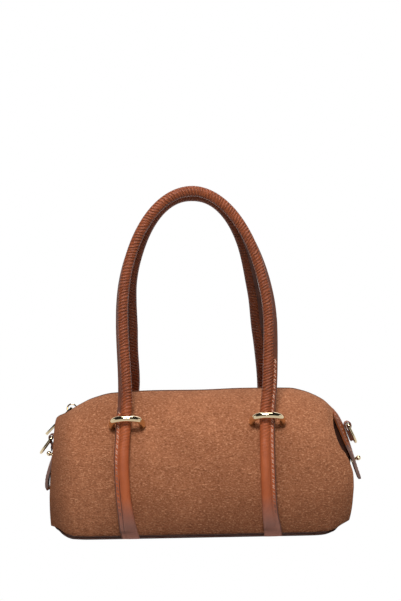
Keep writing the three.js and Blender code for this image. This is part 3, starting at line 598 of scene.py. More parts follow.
def add_piece(name, shape, finishes, nodes=(), body="bag", *, slot):
    """Scales a shape to metres and puts it in the scene, riding on a body in place of CAD nodes."""
    bmesh.ops.scale(shape, vec=(MM, MM, MM), verts=shape.verts)
    piece = new_object(name, shape, finishes)
    piece.data.set_sharp_from_angle(angle=math.radians(SHARP_EDGE))
    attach(piece, body)
    if nodes:
        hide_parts(*nodes)
    return piece


def place_node(tree, kind, values=None, **settings):
    """Adds a shader node; values fill its sockets with numbers or links."""
    made = tree.nodes.new("ShaderNode" + kind)
    for name, setting in settings.items():
        setattr(made, name, setting)
    for socket, value in (values or {}).items():
        if isinstance(value, bpy.types.NodeSocket):
            tree.links.new(value, made.inputs[socket])
        else:
            made.inputs[socket].default_value = value
    return made


def noise_of(tree, vector, scale, detail=2.0, roughness=0.5, distortion=0.0):
    values = {"Vector": vector, "Scale": scale, "Detail": detail}
    values.update({"Roughness": roughness, "Distortion": distortion})
    return place_node(tree, "TexNoise", values).outputs[0]


def calculate(tree, operation, first, second):
    return place_node(tree, "Math", {0: first, 1: second}, operation=operation).outputs[0]


def reach(tree, value, low, high, to_low=0.0, to_high=1.0):
    """Maps a value from one range to another, held at its ends."""
    values = {"Value": value, "From Min": low, "From Max": high, "To Min": to_low, "To Max": to_high}
    return place_node(tree, "MapRange", values).outputs[0]


def mix_colours(tree, factor, first, second):
    """Mixes two colours, each a link or red, green and blue."""
    values = {0: factor}
    for socket, colour in ((6, first), (7, second)):
        values[socket] = (*colour, 1) if isinstance(colour, tuple) else colour
    return place_node(tree, "Mix", values, data_type="RGBA").outputs[2]


def ground_of(tree, tone, colours):
    """Ground of a finish, between its dark and its light colour."""
    return mix_colours(tree, tone, colours["dark"], colours["light"])


def layered(tree, ground, masks, colours):
    """Lays colours over a ground, one after another, each through the mask of its name."""
    for name, mask in masks.items():
        ground = mix_colours(tree, mask, ground, colours[name])
    return ground


def bump(tree, height, distance, normal=None):
    values = {"Height": height, "Distance": distance}
    if normal:
        values["Normal"] = normal
    return place_node(tree, "Bump", values).outputs[0]


def new_group(name, outputs):
    """Empty node group with a place and a scale; returns it with these and a way to fill its outputs."""
    group = bpy.data.node_groups.new(name, "ShaderNodeTree")
    group.interface.new_socket(name="Vector", in_out="INPUT", socket_type="NodeSocketVector")
    group.interface.new_socket(name="Scale", in_out="INPUT", socket_type="NodeSocketFloat")
    for socket in outputs:
        group.interface.new_socket(name=socket, in_out="OUTPUT", socket_type="NodeSocketFloat")
    given = group.nodes.new("NodeGroupInput")
    result = group.nodes.new("NodeGroupOutput")
    return group, given.outputs["Vector"], given.outputs["Scale"], result


def mottle_group():
    """Slow change of tone over a surface."""
    group, vector, scale, result = new_group("mottle", ["Tone"])
    broad = noise_of(group, vector, scale, 3, 0.55, 0.4)
    close = noise_of(group, vector, calculate(group, "MULTIPLY", scale, 4.3), 3, 0.6)
    slow = calculate(group, "MULTIPLY", broad, 0.65)
    both = calculate(group, "ADD", slow, calculate(group, "MULTIPLY", close, 0.35))
    feed(group, result, {"Tone": reach(group, both, 0.33, 0.67)})
    return group


def pebble_group():
    """Pebbled leather grain: rounded cells with creases between them."""
    group, vector, scale, result = new_group("pebble_grain", ["Height", "Crease"])
    values = {"Vector": vector, "Scale": scale, "Randomness": 0.9}
    cells = place_node(group, "TexVoronoi", values, feature="DISTANCE_TO_EDGE").outputs["Distance"]
    pores = noise_of(group, vector, calculate(group, "MULTIPLY", scale, 2.7), 3, 0.6)
    crease = reach(group, cells, 0.0, 0.22, 1.0, 0.0)
    domes = reach(group, cells, 0.0, 0.35)
    height = calculate(group, "ADD", domes, calculate(group, "MULTIPLY", pores, 0.5))
    feed(group, result, {"Height": height, "Crease": crease})
    return group


def scuff_group():
    """Fine rub marks: a mask that is high where a surface has been handled."""
    group, vector, scale, result = new_group("scuffs", ["Mask"])
    stretched = place_node(group, "Mapping", {"Vector": vector, "Scale": (1.0, 6.0, 2.2)}).outputs[0]
    lines = noise_of(group, stretched, scale, 4, 0.7, 0.8)
    areas = noise_of(group, vector, calculate(group, "MULTIPLY", scale, 0.16), 2)
    mask = calculate(group, "MULTIPLY", reach(group, lines, 0.52, 0.72), reach(group, areas, 0.4, 0.65))
    feed(group, result, {"Mask": mask})
    return group


def feed(tree, node, links):
    """Links values to the sockets of a node."""
    for socket, value in links.items():
        tree.links.new(value, node.inputs[socket])


MOTTLE = mottle_group()
PEBBLE = pebble_group()
SCUFFS = scuff_group()


def use_group(tree, group, vector, scale):
    made = tree.nodes.new("ShaderNodeGroup")
    made.node_tree = group
    tree.links.new(vector, made.inputs["Vector"])
    made.inputs["Scale"].default_value = scale
    return made.outputs


def new_finish(name, constants):
    """Material with a Principled shader, whose own sockets take the constants.

    Returns it with its tree, its shader, Object coordinates and the piece's UV map.
    """
    finish = bpy.data.materials.new(name)
    finish.use_nodes = True
    tree = finish.node_tree
    shader = tree.nodes["Principled BSDF"]
    for socket, value in constants.items():
        shader.inputs[socket].default_value = value
    whole = place_node(tree, "TexCoord").outputs["Object"]
    surface = place_node(tree, "UVMap", uv_map="surface").outputs[0]
    return finish, tree, shader, whole, surface


def suede_finish():
    """Napped suede: fibre tips over brush marks and broad shades, dark along the zip, with painted shade at
    the left end where the wall turns away.
    """
    constants = {
        "Roughness": 0.95,
        "Specular IOR Level": 0.08,
        "Sheen Weight": 0.14,
        "Sheen Roughness": 0.6,
        "Sheen Tint": (0.85, 0.50, 0.32, 1),
    }
    finish, tree, shader, whole, _ = new_finish("suede", constants)
    combed = place_node(tree, "Mapping", {"Vector": whole, "Scale": (0.55, 0.8, 1.0)}).outputs[0]
    tips = noise_of(tree, combed, 900, 2, 0.6, 0.5)
    tufts = noise_of(tree, combed, 430, 3, 0.6, 0.5)
    patches = use_group(tree, MOTTLE, whole, 22)["Tone"]
    shades = noise_of(tree, whole, 10, 1, 0.5)
    along, depth, _ = place_node(tree, "SeparateXYZ", {0: whole}).outputs
    from_zip = calculate(tree, "ABSOLUTE", depth, 0)
    nap = ground_of(tree, reach(tree, tufts, 0.34, 0.66), SUEDE_COLOURS)
    masks = {
        "shade": reach(tree, shades, 0.36, 0.64, 0.0, 0.42),
        "brush_mark": reach(tree, patches, 0.2, 0.8, 0.0, 0.6),
        "pit": reach(tree, tips, 0.30, 0.47, 0.6, 0.0),
        "fleck": reach(tree, tips, 0.53, 0.70, 0.0, 0.64),
        # painted shade: the left end is darkened where the wall turns away from the light
        "left_end": reach(tree, along, *LEFT_END_SHADE, 0.75, 0.0),
        "zip_rim": reach(tree, from_zip, *ZIP_RIM_SHADE, 0.85, 0.0),
    }
    near = calculate(tree, "MULTIPLY", tips, 0.6)
    pile = calculate(tree, "ADD", near, calculate(tree, "MULTIPLY", tufts, 0.5))
    colour = layered(tree, nap, masks, SUEDE_COLOURS)
    feed(tree, shader, {"Base Color": colour, "Normal": bump(tree, pile, 0.0012)})
    return finish


def rolled_leather_finish():
    """Leather of the handles: slanted cross wrinkles on the upper part and a fine grain all along. Its colour
    holds painted shade above the keepers and in the wrinkles' valleys, painted light below them, dust and
    painted light on the feet, and crests lighter from wear and painted highlight.
    """
    constants = {"Specular IOR Level": 0.32, "Coat Weight": 0.03, "Coat Roughness": 0.25}
    finish, tree, shader, whole, surface = new_finish("rolled_leather", constants)
    slant = (0, 0, math.radians(RIB_SLANT))
    slanted = place_node(tree, "Mapping", {"Vector": surface, "Rotation": slant}).outputs[0]
    values = {"Vector": slanted, "Scale": 106, "Distortion": 5.0, "Detail": 2.0, "Detail Scale": 0.8}
    waves = place_node(tree, "TexWave", values, bands_direction="X").outputs["Fac"]
    height = place_node(tree, "SeparateXYZ", {0: whole}).outputs["Z"]
    broken = reach(tree, noise_of(tree, whole, 210, 2, 0.5), 0.34, 0.56, 0.35, 1.0)
    strength = calculate(tree, "MULTIPLY", reach(tree, height, *RIBBED_HEIGHTS, 0.06, 1.0), broken)
    ribs = calculate(tree, "MULTIPLY", waves, strength)
    rib_valley_shade = reach(tree, waves, 0.0, 0.5, 0.6, 0.0)
    grain = use_group(tree, PEBBLE, whole, 1100)
    tone = use_group(tree, MOTTLE, whole, 30)["Tone"]
    # painted shade and painted light: a shaded copy of the leather above the keepers, a lit copy below them
    upper = ground_of(tree, tone, ROLL_COLOURS)
    lower = mix_colours(tree, tone, ROLL_COLOURS["lit_low_dark"], ROLL_COLOURS["lit_low_light"])
    ground = mix_colours(tree, reach(tree, height, *LIT_LOWER_HEIGHTS), lower, upper)
    masks = {
        # dust and painted light: the feet, which face downwards, are made paler
        "dust_and_painted_light": reach(tree, height, *DUST_AND_LIGHT_HEIGHTS, 0.8, 0.0),
        # darker at the very bottom of the feet
        "foot": reach(tree, height, *FOOT_DARKENING_HEIGHTS, 0.6, 0.0),
        # painted shade in the valleys between the wrinkles
        "crease": calculate(tree, "MULTIPLY", rib_valley_shade, strength),
        # rib crests made lighter: partly wear, partly painted highlight
        "rub": reach(tree, ribs, 0.7, 1.0, 0.0, 0.3),
    }
    links = {
        "Base Color": layered(tree, ground, masks, ROLL_COLOURS),
        "Roughness": reach(tree, grain["Crease"], 0, 1, 0.36, 0.55),
        "Normal": bump(tree, ribs, 0.0008, bump(tree, grain["Height"], 0.00012)),
    }
    feed(tree, shader, links)
    return finish


def flat_leather_finish(name, colours, grain_scale, roughness):
    """Flat leather with a pebbled grain, slow changes of tone and a few rub marks."""
    constants = {"Specular IOR Level": 0.3, "Coat Weight": 0.04, "Coat Roughness": 0.35}
    finish, tree, shader, whole, _ = new_finish(name, constants)
    grain = use_group(tree, PEBBLE, whole, grain_scale)
    tone = use_group(tree, MOTTLE, whole, 38)["Tone"]
    marks = use_group(tree, SCUFFS, whole, 190)["Mask"]
    masks = {
        "dark": reach(tree, grain["Crease"], 0, 1, 0.0, 0.4),
        "rub": reach(tree, marks, 0, 1, 0.0, 0.45),
    }
    links = {
        "Base Color": layered(tree, ground_of(tree, tone, colours), masks, colours),
        "Roughness": reach(tree, grain["Crease"], 0, 1, roughness, roughness + 0.18),
        "Normal": bump(tree, grain["Height"], 0.00016),
    }
    feed(tree, shader, links)
    return finish


def painted_edge_finish(name, colours):
    """Cut edges of the leather, painted in a thick satin coat."""
    finish, tree, shader, whole, _ = new_finish(name, {})
    tone = use_group(tree, MOTTLE, whole, 90)["Tone"]
    runs = noise_of(tree, whole, 420, 3, 0.6)
    links = {
        "Base Color": ground_of(tree, tone, colours),
        "Roughness": reach(tree, runs, 0.3, 0.7, 0.34, 0.55),
        "Normal": bump(tree, runs, 0.00012),
    }
    feed(tree, shader, links)
    return finish


def tape_finish():
    """Woven zip tape: ribs across it and yarns along it."""
    finish, tree, shader, whole, surface = new_finish("zip_tape", {"Roughness": 0.85, "Sheen Weight": 0.2})
    waves = []
    for direction in ("X", "Y"):
        values = {"Vector": surface, "Scale": 420, "Distortion": 0.4}
        waves.append(place_node(tree, "TexWave", values, bands_direction=direction).outputs["Fac"])
    weave = calculate(tree, "MULTIPLY", *waves)
    yarn = ground_of(tree, use_group(tree, MOTTLE, whole, 60)["Tone"], TAPE_COLOURS)
    colour = layered(tree, yarn, {"rib": reach(tree, weave, 0.1, 0.8, 0.0, 0.6)}, TAPE_COLOURS)
    feed(tree, shader, {"Base Color": colour, "Normal": bump(tree, weave, 0.0002)})
    return finish


def gold_finish():
    """Polished pale gold plating with faint rub marks."""
    finish, tree, shader, whole, _ = new_finish("gold", {"Metallic": 1.0})
    plate = ground_of(tree, use_group(tree, MOTTLE, whole, 70)["Tone"], GOLD_COLOURS)
    marks = use_group(tree, SCUFFS, whole, 150)["Mask"]
    links = {
        "Base Color": layered(tree, plate, {"rub": reach(tree, marks, 0, 1, 0.0, 0.5)}, GOLD_COLOURS),
        "Roughness": reach(tree, marks, 0, 1, 0.07, 0.2),
        "Normal": bump(tree, marks, 0.00001),
    }
    feed(tree, shader, links)
    return finish


def thread_finish():
    """Waxed sewing thread with a twist, with painted shade on the low stitches that reaches higher up on the
    left.
    """
    finish, tree, shader, whole, _ = new_finish("thread", {"Roughness": 0.55})
    values = {"Vector": whole, "Scale": 620, "Distortion": 0.6}
    twist = place_node(tree, "TexWave", values, bands_direction="DIAGONAL").outputs["Fac"]
    along, _, height = place_node(tree, "SeparateXYZ", {0: whole}).outputs
    slanted = calculate(tree, "ADD", height, calculate(tree, "MULTIPLY", along, THREAD_SHADE_SLANT))
    # painted shade on the low stitches
    masks = {"low_stitch_shade": reach(tree, slanted, *THREAD_SHADE_HEIGHTS, 0.8, 0.0)}
    colour = layered(tree, ground_of(tree, twist, THREAD_COLOURS), masks, THREAD_COLOURS)
    feed(tree, shader, {"Base Color": colour, "Normal": bump(tree, twist, 0.0001)})
    return finish


SUEDE_FINISH = suede_finish()
ROLL_FINISH = rolled_leather_finish()
TAB_FINISH = flat_leather_finish("tab_leather", TAB_COLOURS, 1100, 0.4)
DARK_FINISH = flat_leather_finish("dark_leather", DARK_COLOURS, 900, 0.42)
EDGE_FINISH = painted_edge_finish("painted_edge", EDGE_COLOURS)
# edge paint of the fins and loops, also used as painted shade in the left legs' crease and on the turned-away
# fins
FIN_EDGE_AND_SHADE_FINISH = painted_edge_finish("fin_edge_and_shade", FIN_EDGE_AND_SHADE_COLOURS)
TAPE_FINISH = tape_finish()
GOLD_FINISH = gold_finish()
THREAD_FINISH = thread_finish()


def paint_faces(shape, chosen):
    """Gives the second finish to some faces."""
    for face in shape.faces:
        if chosen(face):
            face.material_index = 1


def mirrored(shape):
    """Front shape turned into the back one."""
    bmesh.ops.scale(shape, vec=(1, -1, 1), verts=shape.verts)
    bmesh.ops.reverse_faces(shape, faces=shape.faces)
    return shape


def crowded(t):
    """Number from 0 to 1 to a place along the bag, closer together near the ends."""
    s = 2 * t - 1
    return CROWDING * math.sin(s * math.pi / 2) + (1 - CROWDING) * s


def slack(point, seed):
    """How far the suede stands in or out of its even form."""
    stand = 0
    for (along, up, depth), layer in ((SLACK_BROAD, seed), (SLACK_CLOSE, seed + 7)):
        stand += depth * noise.noise(Vector((point.x / along, point.z / up, layer)))
    return stand


def suede_panel(seed):
    """Wall of the bag: slack suede, drawn in where the keepers' posts go through it."""
    posts = []
    for side in (-1, 1):
        for post in (-1, 1):
            x = HANDLE_CENTRE + side * KEEPER_OFFSET + post * KEEPER_HALF
            posts.append(wall_point(x / HALF_LENGTH, KEEPER_PLACE))

    def place(across, up):
        along = crowded(across)
        point = wall_point(along, up)
        normal = wall_normal(clamp(along, -0.998, 0.998), clamp(up, 0.002, 0.998))
        loose = min(ease(up, 0.0, 0.2), 1 - ease(up, 0.85, 1.0), 1 - ease(abs(along), 0.88, 1.0))
        drawn = sum(math.exp(-(((point - post).length / DIMPLE_REACH) ** 2)) for post in posts)
        return point + normal * (slack(point, seed) * loose - DIMPLE_DEPTH * drawn)

    shape = formed_sheet(170, 90, place, (310, 190))
    return thicken(shape, SUEDE, SUEDE_ROUNDING)


def make_panels():
    for name, seed in (("front", 3.0), ("back", 11.0)):
        shape = suede_panel(seed)
        if name == "back":
            mirrored(shape)
        add_piece(f"{name}_suede", shape, [SUEDE_FINISH], [f"{name}_panel"], slot="suede")


def gusset(name):
    """End of the bag: its middle stands out under the tab, with a fold on each side."""
    side, top, sink, lines = GUSSETS[name]
    middle_at = smooth_table(lines)
    lowest = FOOT_HEIGHT + section_at(side * GUSSET_PLACE)[3] + GUSSET_FOOT

    def place(across, up):
        share = top * up
        normal = wall_normal(side * GUSSET_PLACE, max(share, 0.004))
        edge = wall_point(side * GUSSET_PLACE, share) - normal * (SUEDE + LINING_GAP)
        edge.z = max(edge.z, lowest + 1.2 * up)
        drop = sink * ease(edge.z, *GUSSET_SINK)
        middle, fold = middle_at(edge.z - drop)
        t = 2 * across - 1
        s = abs(t)
        crown = (middle - edge.x) * (1 - s * s * (3 - 2 * s)) * ease(edge.z, *GUSSET_SWELL)
        crease = fold * math.sin(math.pi * s) ** 1.5
        wrinkle = GUSSET_WRINKLE * noise.noise(Vector((t * 3, edge.z / 11, side * 5))) * math.sin(math.pi * s)
        x = edge.x + crown - side * (crease + wrinkle)
        return Vector((x, side * t * -edge.y, edge.z - drop * (1 - s * s)))

    shape = formed_sheet(56, 44, place, (110, 130))
    return thicken(shape, GUSSET_WALL, 0.5, 2)


def make_gussets():
    for name in GUSSETS:
        add_piece(f"{name}_end", gusset(name), [DARK_FINISH], [f"{name}_gusset"], slot="dark_leather")


def make_base():
    """Flat under the bag; its ends go in under the walls and up between them."""

    def place(across, up):
        along = BASE_END * crowded(across)
        _, _, base, rise = section_at(along)
        end = "left" if along < 0 else "right"
        inside = ease(abs(along), *BASE_TURN[end])
        lift = (FOOT_HEIGHT - 0.1) * ease(abs(along), *BASE_LIFT[end])
        half = base + BASE_LIP - (BASE_LIP + BASE_TUCK) * inside
        return Vector((wall_point(along, 0).x, (2 * up - 1) * half, rise + lift + BASE_WALL))

    shape = formed_sheet(130, 30, place, (300, 103))
    thicken(shape, BASE_WALL, 0.6)
    add_piece("base", shape, [DARK_FINISH], ["base_panel"], slot="dark_leather")


def make_welts():
    for name, face in (("front", -1), ("back", 1)):
        path = []
        for along in spread(90, *WELT_ENDS):
            foot = wall_point(along, 0)
            path.append(Vector((foot.x, face * (-foot.y + WELT_OUT), foot.z + WELT_UP)))
        shape = wire(path, Vector((0, 0, 1)), WELT_RADIUS, 12)
        add_piece(f"{name}_piping", shape, [DARK_FINISH], [f"{name}_welt"], slot="dark_leather")


def make_zip():
    start, end = ZIP_ENDS
    for name, face in (("front", -1), ("back", 1)):

        def place(across, up):
            middle = zip_point(start + (end - start) * across)
            inner, outer = TAPE_EDGES
            y = inner + (outer - inner) * (up if face > 0 else 1 - up)
            return middle + Vector((0, face * y, -ZIP_DROP))

        shape = formed_sheet(120, 6, place, (282, 6))
        thicken(shape, ZIP_TAPE, 0.25, 2)
        add_piece(f"zip_tape_{name}_cloth", shape, [TAPE_FINISH], [f"zip_tape_{name}"], slot="zip_tape")
    add_piece("zip_teeth", zip_teeth(), [GOLD_FINISH], ["zip_chain"], slot="gold")


def even_steps(point_at, start, end, pitch):
    """Places at even distances along a curve."""
    places = spread(900, start, end)
    found = []
    travelled = 0.0
    before = point_at(start)
    for place in places:
        here = point_at(place)
        travelled += (here - before).length
        before = here
        if travelled >= pitch * len(found):
            found.append(place)
    return found


def zip_teeth():
    """Row of teeth that grip each other from both tapes."""
    shape = bmesh.new()
    start, end = ZIP_ENDS
    for i, place in enumerate(even_steps(zip_point, start + 0.004, end - 0.004, TOOTH_PITCH)):
        fall = zip_point(place + 0.003) - zip_point(place - 0.003)
        turn = Matrix.Rotation(-math.atan2(fall.z, fall.x), 4, "Y")
        side = -1 if i % 2 else 1
        middle = zip_point(place) + Vector((0, side * TOOTH_ASIDE, -ZIP_DROP - TOOTH_DROP))
        size = Matrix.Diagonal((*TOOTH_SIZE, 1))
        bmesh.ops.create_cube(shape, size=1, matrix=Matrix.Translation(middle) @ turn @ size)
    round_edges(shape, TOOTH_ROUNDING, 1, 60)
    return shape


def slider_frame():
    """Frame on the zip for the slider: X along the zip to the right, Z away from it."""
    rise = zip_point(SLIDER_PLACE + 0.02) - zip_point(SLIDER_PLACE - 0.02)
    turn = Matrix.Rotation(-math.atan2(rise.z, rise.x), 4, "Y")
    return Matrix.Translation(zip_point(SLIDER_PLACE)) @ turn @ Matrix.Translation((0, 0, SLIDER_LIFT))


def make_slider():
    """Slider plate with a round nose and a bail for the puller."""
    shape = bmesh.new()
    made = bmesh.ops.create_circle(shape, cap_ends=True, radius=1, segments=28)
    for point in made["verts"]:
        x, y, _ = point.co
        narrow = 1 - SLIDER_NOSE * ease(x, 0.1, 1.0)
        point.co = (x * SLIDER_LENGTH / 2, math.copysign(abs(y) ** 0.75, y) * SLIDER_HALF * narrow, 0)
    pushed = bmesh.ops.extrude_face_region(shape, geom=shape.faces[:])["geom"]
    top = [item for item in pushed if isinstance(item, bmesh.types.BMVert)]
    bmesh.ops.translate(shape, vec=(0, 0, SLIDER_PLATE), verts=top)
    bmesh.ops.recalc_face_normals(shape, faces=shape.faces)
    round_edges(shape, 0.5, 3, 50)
    path = [Vector((BAIL_REACH, 0, SLIDER_PLATE / 2))]
    for turn in spread(19, 0, math.pi):
        height = SLIDER_PLATE + BAIL_HEIGHT * max(math.sin(turn), 0) ** 0.7
        path.append(Vector((BAIL_REACH * math.cos(turn), 0, height)))
    path.append(Vector((-BAIL_REACH, 0, SLIDER_PLATE / 2)))
    wire(path, Vector((0, 1, 0)), BAIL_WIRE, 12, shape=shape)
    bmesh.ops.transform(shape, matrix=slider_frame(), verts=shape.verts)
    add_piece("slider", shape, [GOLD_FINISH], ["zip_slider"], slot="gold")


def from_node(name):
    """Copy of a CAD node's mesh in millimetres, joined and with its flat faces whole."""
    shape = bmesh.new()
    shape.from_mesh(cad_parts[name].data)
    bmesh.ops.scale(shape, vec=(1 / MM, 1 / MM, 1 / MM), verts=shape.verts)
    bmesh.ops.remove_doubles(shape, verts=shape.verts, dist=1e-3)
    flat = math.radians(2)
    bmesh.ops.dissolve_limit(shape, angle_limit=flat, verts=shape.verts, edges=shape.edges)
    return shape


def make_puller():
    shape = from_node("zip_puller")
    round_edges(shape, 0.45, 3, 50)
    add_piece("puller_bar", shape, [GOLD_FINISH], ["zip_puller"], body="puller", slot="gold")


def tab_frame(name, height):
    """Place on a tab: its middle, the direction down along it and the direction out of it."""
    side = FITTINGS[name][0]
    at = smooth_table(TABS[name])
    step = 0.5
    down = Vector((at(height - step)[0] - at(height + step)[0], 0, -2 * step)).normalized()
    out = Vector((-down.z * side, 0, down.x * side))
    return Vector((at(height)[0], 0, height)), down, out


def make_tab(name):
    """Leather tab with painted edges and a line of stitches along them."""
    side = FITTINGS[name][0]
    at = smooth_table(TABS[name])
    low, high = TABS[name][0][0], TABS[name][-1][0]

    def place(across, up):
        height = low + (high - low) * up
        _, _, out = tab_frame(name, clamp(height, low + 0.6, high - 0.6))
        x, half, cup = at(height)
        tip = math.sqrt(1 - 0.5 * (1 - clamp((height - low) / 3)) ** 2)
        bend = (cup + TAB_CUP) * abs(2 * across - 1) ** TAB_CUP_POWER
        point = Vector((x, side * (2 * across - 1) * half * tip, height))
        return point + out * (TAB_HALF_THICK - bend)

    shape = formed_sheet(14, 70, place, (20, 85))
    thicken(shape, 2 * TAB_HALF_THICK, 0.6)

    def at_edge(face):
        centre = face.calc_center_median()
        return abs(centre.y) > at(centre.z)[1] - TAB_EDGE

    paint_faces(shape, at_edge)
    add_piece(f"{name}_tab", shape, [TAB_FINISH, EDGE_FINISH], [f"{name}_end_tab"], slot="handle_leather")

    seam = bmesh.new()
    count = int((high - low - TAB_SEAM_FOOT - TAB_SEAM_TOP) / TAB_STITCH_PITCH)
    for edge in (-1, 1):
        for height in spread(count, low + TAB_SEAM_FOOT, high - TAB_SEAM_TOP):
            middle, down, out = tab_frame(name, height)
            _, half, cup = at(height)
            inset = half - TAB_SEAM_INSET
            lift = TAB_HALF_THICK - 0.12 - (cup + TAB_CUP) * (inset / half) ** TAB_CUP_POWER
            point = middle + Vector((0, edge * inset, 0)) + out * lift
            add_stitch(seam, point, down, TAB_STITCH_LENGTH, TAB_STITCH_RADIUS)
    add_piece(f"{name}_tab_seam", seam, [THREAD_FINISH], slot="handle_leather")


def add_stitch(seam, point, along, length, radius):
    """Short rounded length of thread lying along a direction."""
    turn = along.to_track_quat("Z", "Y").to_matrix().to_4x4()
    size = Matrix.Diagonal((radius, radius, length / 2, 1))
    matrix = Matrix.Translation(point) @ turn @ size
    bmesh.ops.create_uvsphere(seam, u_segments=6, v_segments=5, radius=1, matrix=matrix)


def eye_place(name):
    """Middle of the strap ring's bar."""
    middle, down, out = tab_frame(name, FITTINGS[name][1])
    return middle + out * (TAB_HALF_THICK + EYE_HEIGHT), down, out


def make_loop(name):
    """Leather strip folded round the strap ring's bar and lying along the tab."""
    length = FITTINGS[name][2]
    eye, down, out = eye_place(name)
    bend = LOOP_OUTER - LOOP_STRIP / 2
    path = [Vector((t, -bend)) for t in spread(10, -length, -1.0)]
    path += [Vector((bend * math.sin(a), -bend * math.cos(a))) for a in spread(17, 0, math.pi)]
    path += [Vector((-2.2, bend - 0.35)), Vector((-4.2, bend - 1.7)), Vector((-6.2, bend - 3.4))]
    rest = -bend + LOOP_STRIP + 0.05
    path += [Vector((t, rest + 0.1)) for t in spread(8, -8.0, -length)]

    def place(across, up):
        spot = up * (len(path) - 1)
        i = min(int(spot), len(path) - 2)
        point = path[i].lerp(path[i + 1], spot - i)
        before, after = path[max(i - 1, 0)], path[min(i + 2, len(path) - 1)]
        along = (after - before).normalized()
        level = point + Vector((along.y, -along.x)) * (LOOP_STRIP / 2)
        return eye - down * level.x + out * level.y + Vector((0, (2 * across - 1) * LOOP_HALF, 0))

    shape = formed_sheet(10, 3 * len(path), place, (13, 45))
    side = FITTINGS[name][0]
    if side > 0:
        bmesh.ops.reverse_faces(shape, faces=shape.faces)
    thicken(shape, LOOP_STRIP, 0.35, 2)
    paint_faces(shape, lambda face: abs(face.normal.y) > 0.62)
    nodes = [f"{name}_ring_loop"]
    add_piece(f"{name}_loop", shape, [TAB_FINISH, FIN_EDGE_AND_SHADE_FINISH], nodes, slot="handle_leather")


def make_strap_ring(name):
    side, _, _, _, lean = FITTINGS[name]
    eye, _, _ = eye_place(name)
    straight = RING_HALF - RING_CORNER
    corner = [(RING_CORNER * math.sin(a), RING_CORNER * (math.cos(a) - 1)) for a in (0.5, 1.05)]
    path = [Vector((0, y, 0)) for y in spread(8, -straight, straight)]
    path += [Vector((0, straight + y, z)) for y, z in corner]
    path += [Vector((0, RING_HALF, z)) for z in spread(6, -RING_CORNER, -RING_ARM)]
    path += [
        Vector((0, RING_HALF * math.cos(a), -RING_ARM - RING_HALF * math.sin(a)))
        for a in spread(25, 0, math.pi)[1:]
    ]
    path += [Vector((0, -RING_HALF, z)) for z in spread(6, -RING_ARM, -RING_CORNER)[1:]]
    path += [Vector((0, -straight - y, z)) for y, z in reversed(corner)]
    shape = wire(path, Vector((1, 0, 0)), RING_WIRE, 14, closed=True)
    turn = Matrix.Rotation(-side * math.radians(lean), 4, "Y")
    bmesh.ops.transform(shape, matrix=Matrix.Translation(eye) @ turn, verts=shape.verts)
    body = f"{name}_strap_ring"
    add_piece(f"{name}_ring", shape, [GOLD_FINISH], [f"{name}_d_ring"], body=body, slot="gold")


def make_stud(name):
    """Ball stud: a turned profile with a ball, a neck and a flat head behind the tab."""
    middle, _, out = tab_frame(name, FITTINGS[name][3])
    back = -TAB_HALF_THICK - 0.4
    face = TAB_HALF_THICK + 0.3
    ball = face + 1.0 + BALL_RADIUS * 0.9
    profile = [(0, back - 1.2), (STUD_HEAD - 0.4, back - 1.2), (STUD_HEAD, back - 0.8), (STUD_HEAD, back)]
    profile += [(STUD_SHANK, back)]
    profile += [(STUD_SHANK, face), (1.9, face), (2.1, face + 0.2), (1.8, face + 0.7)]
    profile += [
        (BALL_RADIUS * max(math.cos(a), 0), ball + BALL_RADIUS * math.sin(a))
        for a in spread(13, -0.85, math.pi / 2)
    ]
    shape = bmesh.new()
    points = [shape.verts.new((radius, 0, height)) for radius, height in profile]
    line = [shape.edges.new(pair) for pair in zip(points, points[1:])]
    bmesh.ops.spin(
        shape,
        geom=points + line,
        cent=(0, 0, 0),
        axis=(0, 0, 1),
        angle=2 * math.pi,
        steps=24,
        use_merge=True,
    )
    bmesh.ops.remove_doubles(shape, verts=shape.verts, dist=1e-3)
    bmesh.ops.recalc_face_normals(shape, faces=shape.faces)
    turn = out.to_track_quat("Z", "Y").to_matrix().to_4x4()
    bmesh.ops.transform(shape, matrix=Matrix.Translation(middle) @ turn, verts=shape.verts)
    add_piece(f"{name}_ball_stud", shape, [GOLD_FINISH], [f"{name}_stud"], slot="gold")


def keeper_frame(side):
    """Place of a front keeper: X along the bag, Z out of the wall."""
    along = (HANDLE_CENTRE + side * KEEPER_OFFSET) / HALF_LENGTH
    normal = wall_normal(along, KEEPER_PLACE)
    turn = Matrix.Rotation(math.atan2(-normal.y, normal.z), 4, "X")
    return Matrix.Translation(wall_point(along, KEEPER_PLACE)) @ turn


def make_keepers():
    """Gold loops: two posts through the suede and a bowed bar."""
    rise = KEEPER_DEPTH - KEEPER_BOW
    power = 2 / KEEPER_SQUARENESS
    path = [Vector((-KEEPER_HALF, 0, z)) for z in spread(4, -KEEPER_POST, rise - 1)]
    for turn in spread(33, 0, math.pi):
        across = -math.copysign(abs(math.cos(turn)) ** power, math.cos(turn))
        path.append(Vector((KEEPER_HALF * across, 0, rise + KEEPER_BOW * abs(math.sin(turn)) ** power)))
    path += [Vector((KEEPER_HALF, 0, z)) for z in spread(4, rise - 1, -KEEPER_POST)]
    for face in ("front", "back"):
        for name, side in (("left", -1), ("right", 1)):
            shape = wire(path, Vector((0, 1, 0)), KEEPER_WIRE, 20)
            bmesh.ops.transform(shape, matrix=keeper_frame(side), verts=shape.verts)
            if face == "back":
                mirrored(shape)
            piece = f"{face}_{name}_gold_loop"
            add_piece(piece, shape, [GOLD_FINISH], [f"{face}_{name}_keeper"], slot="gold")


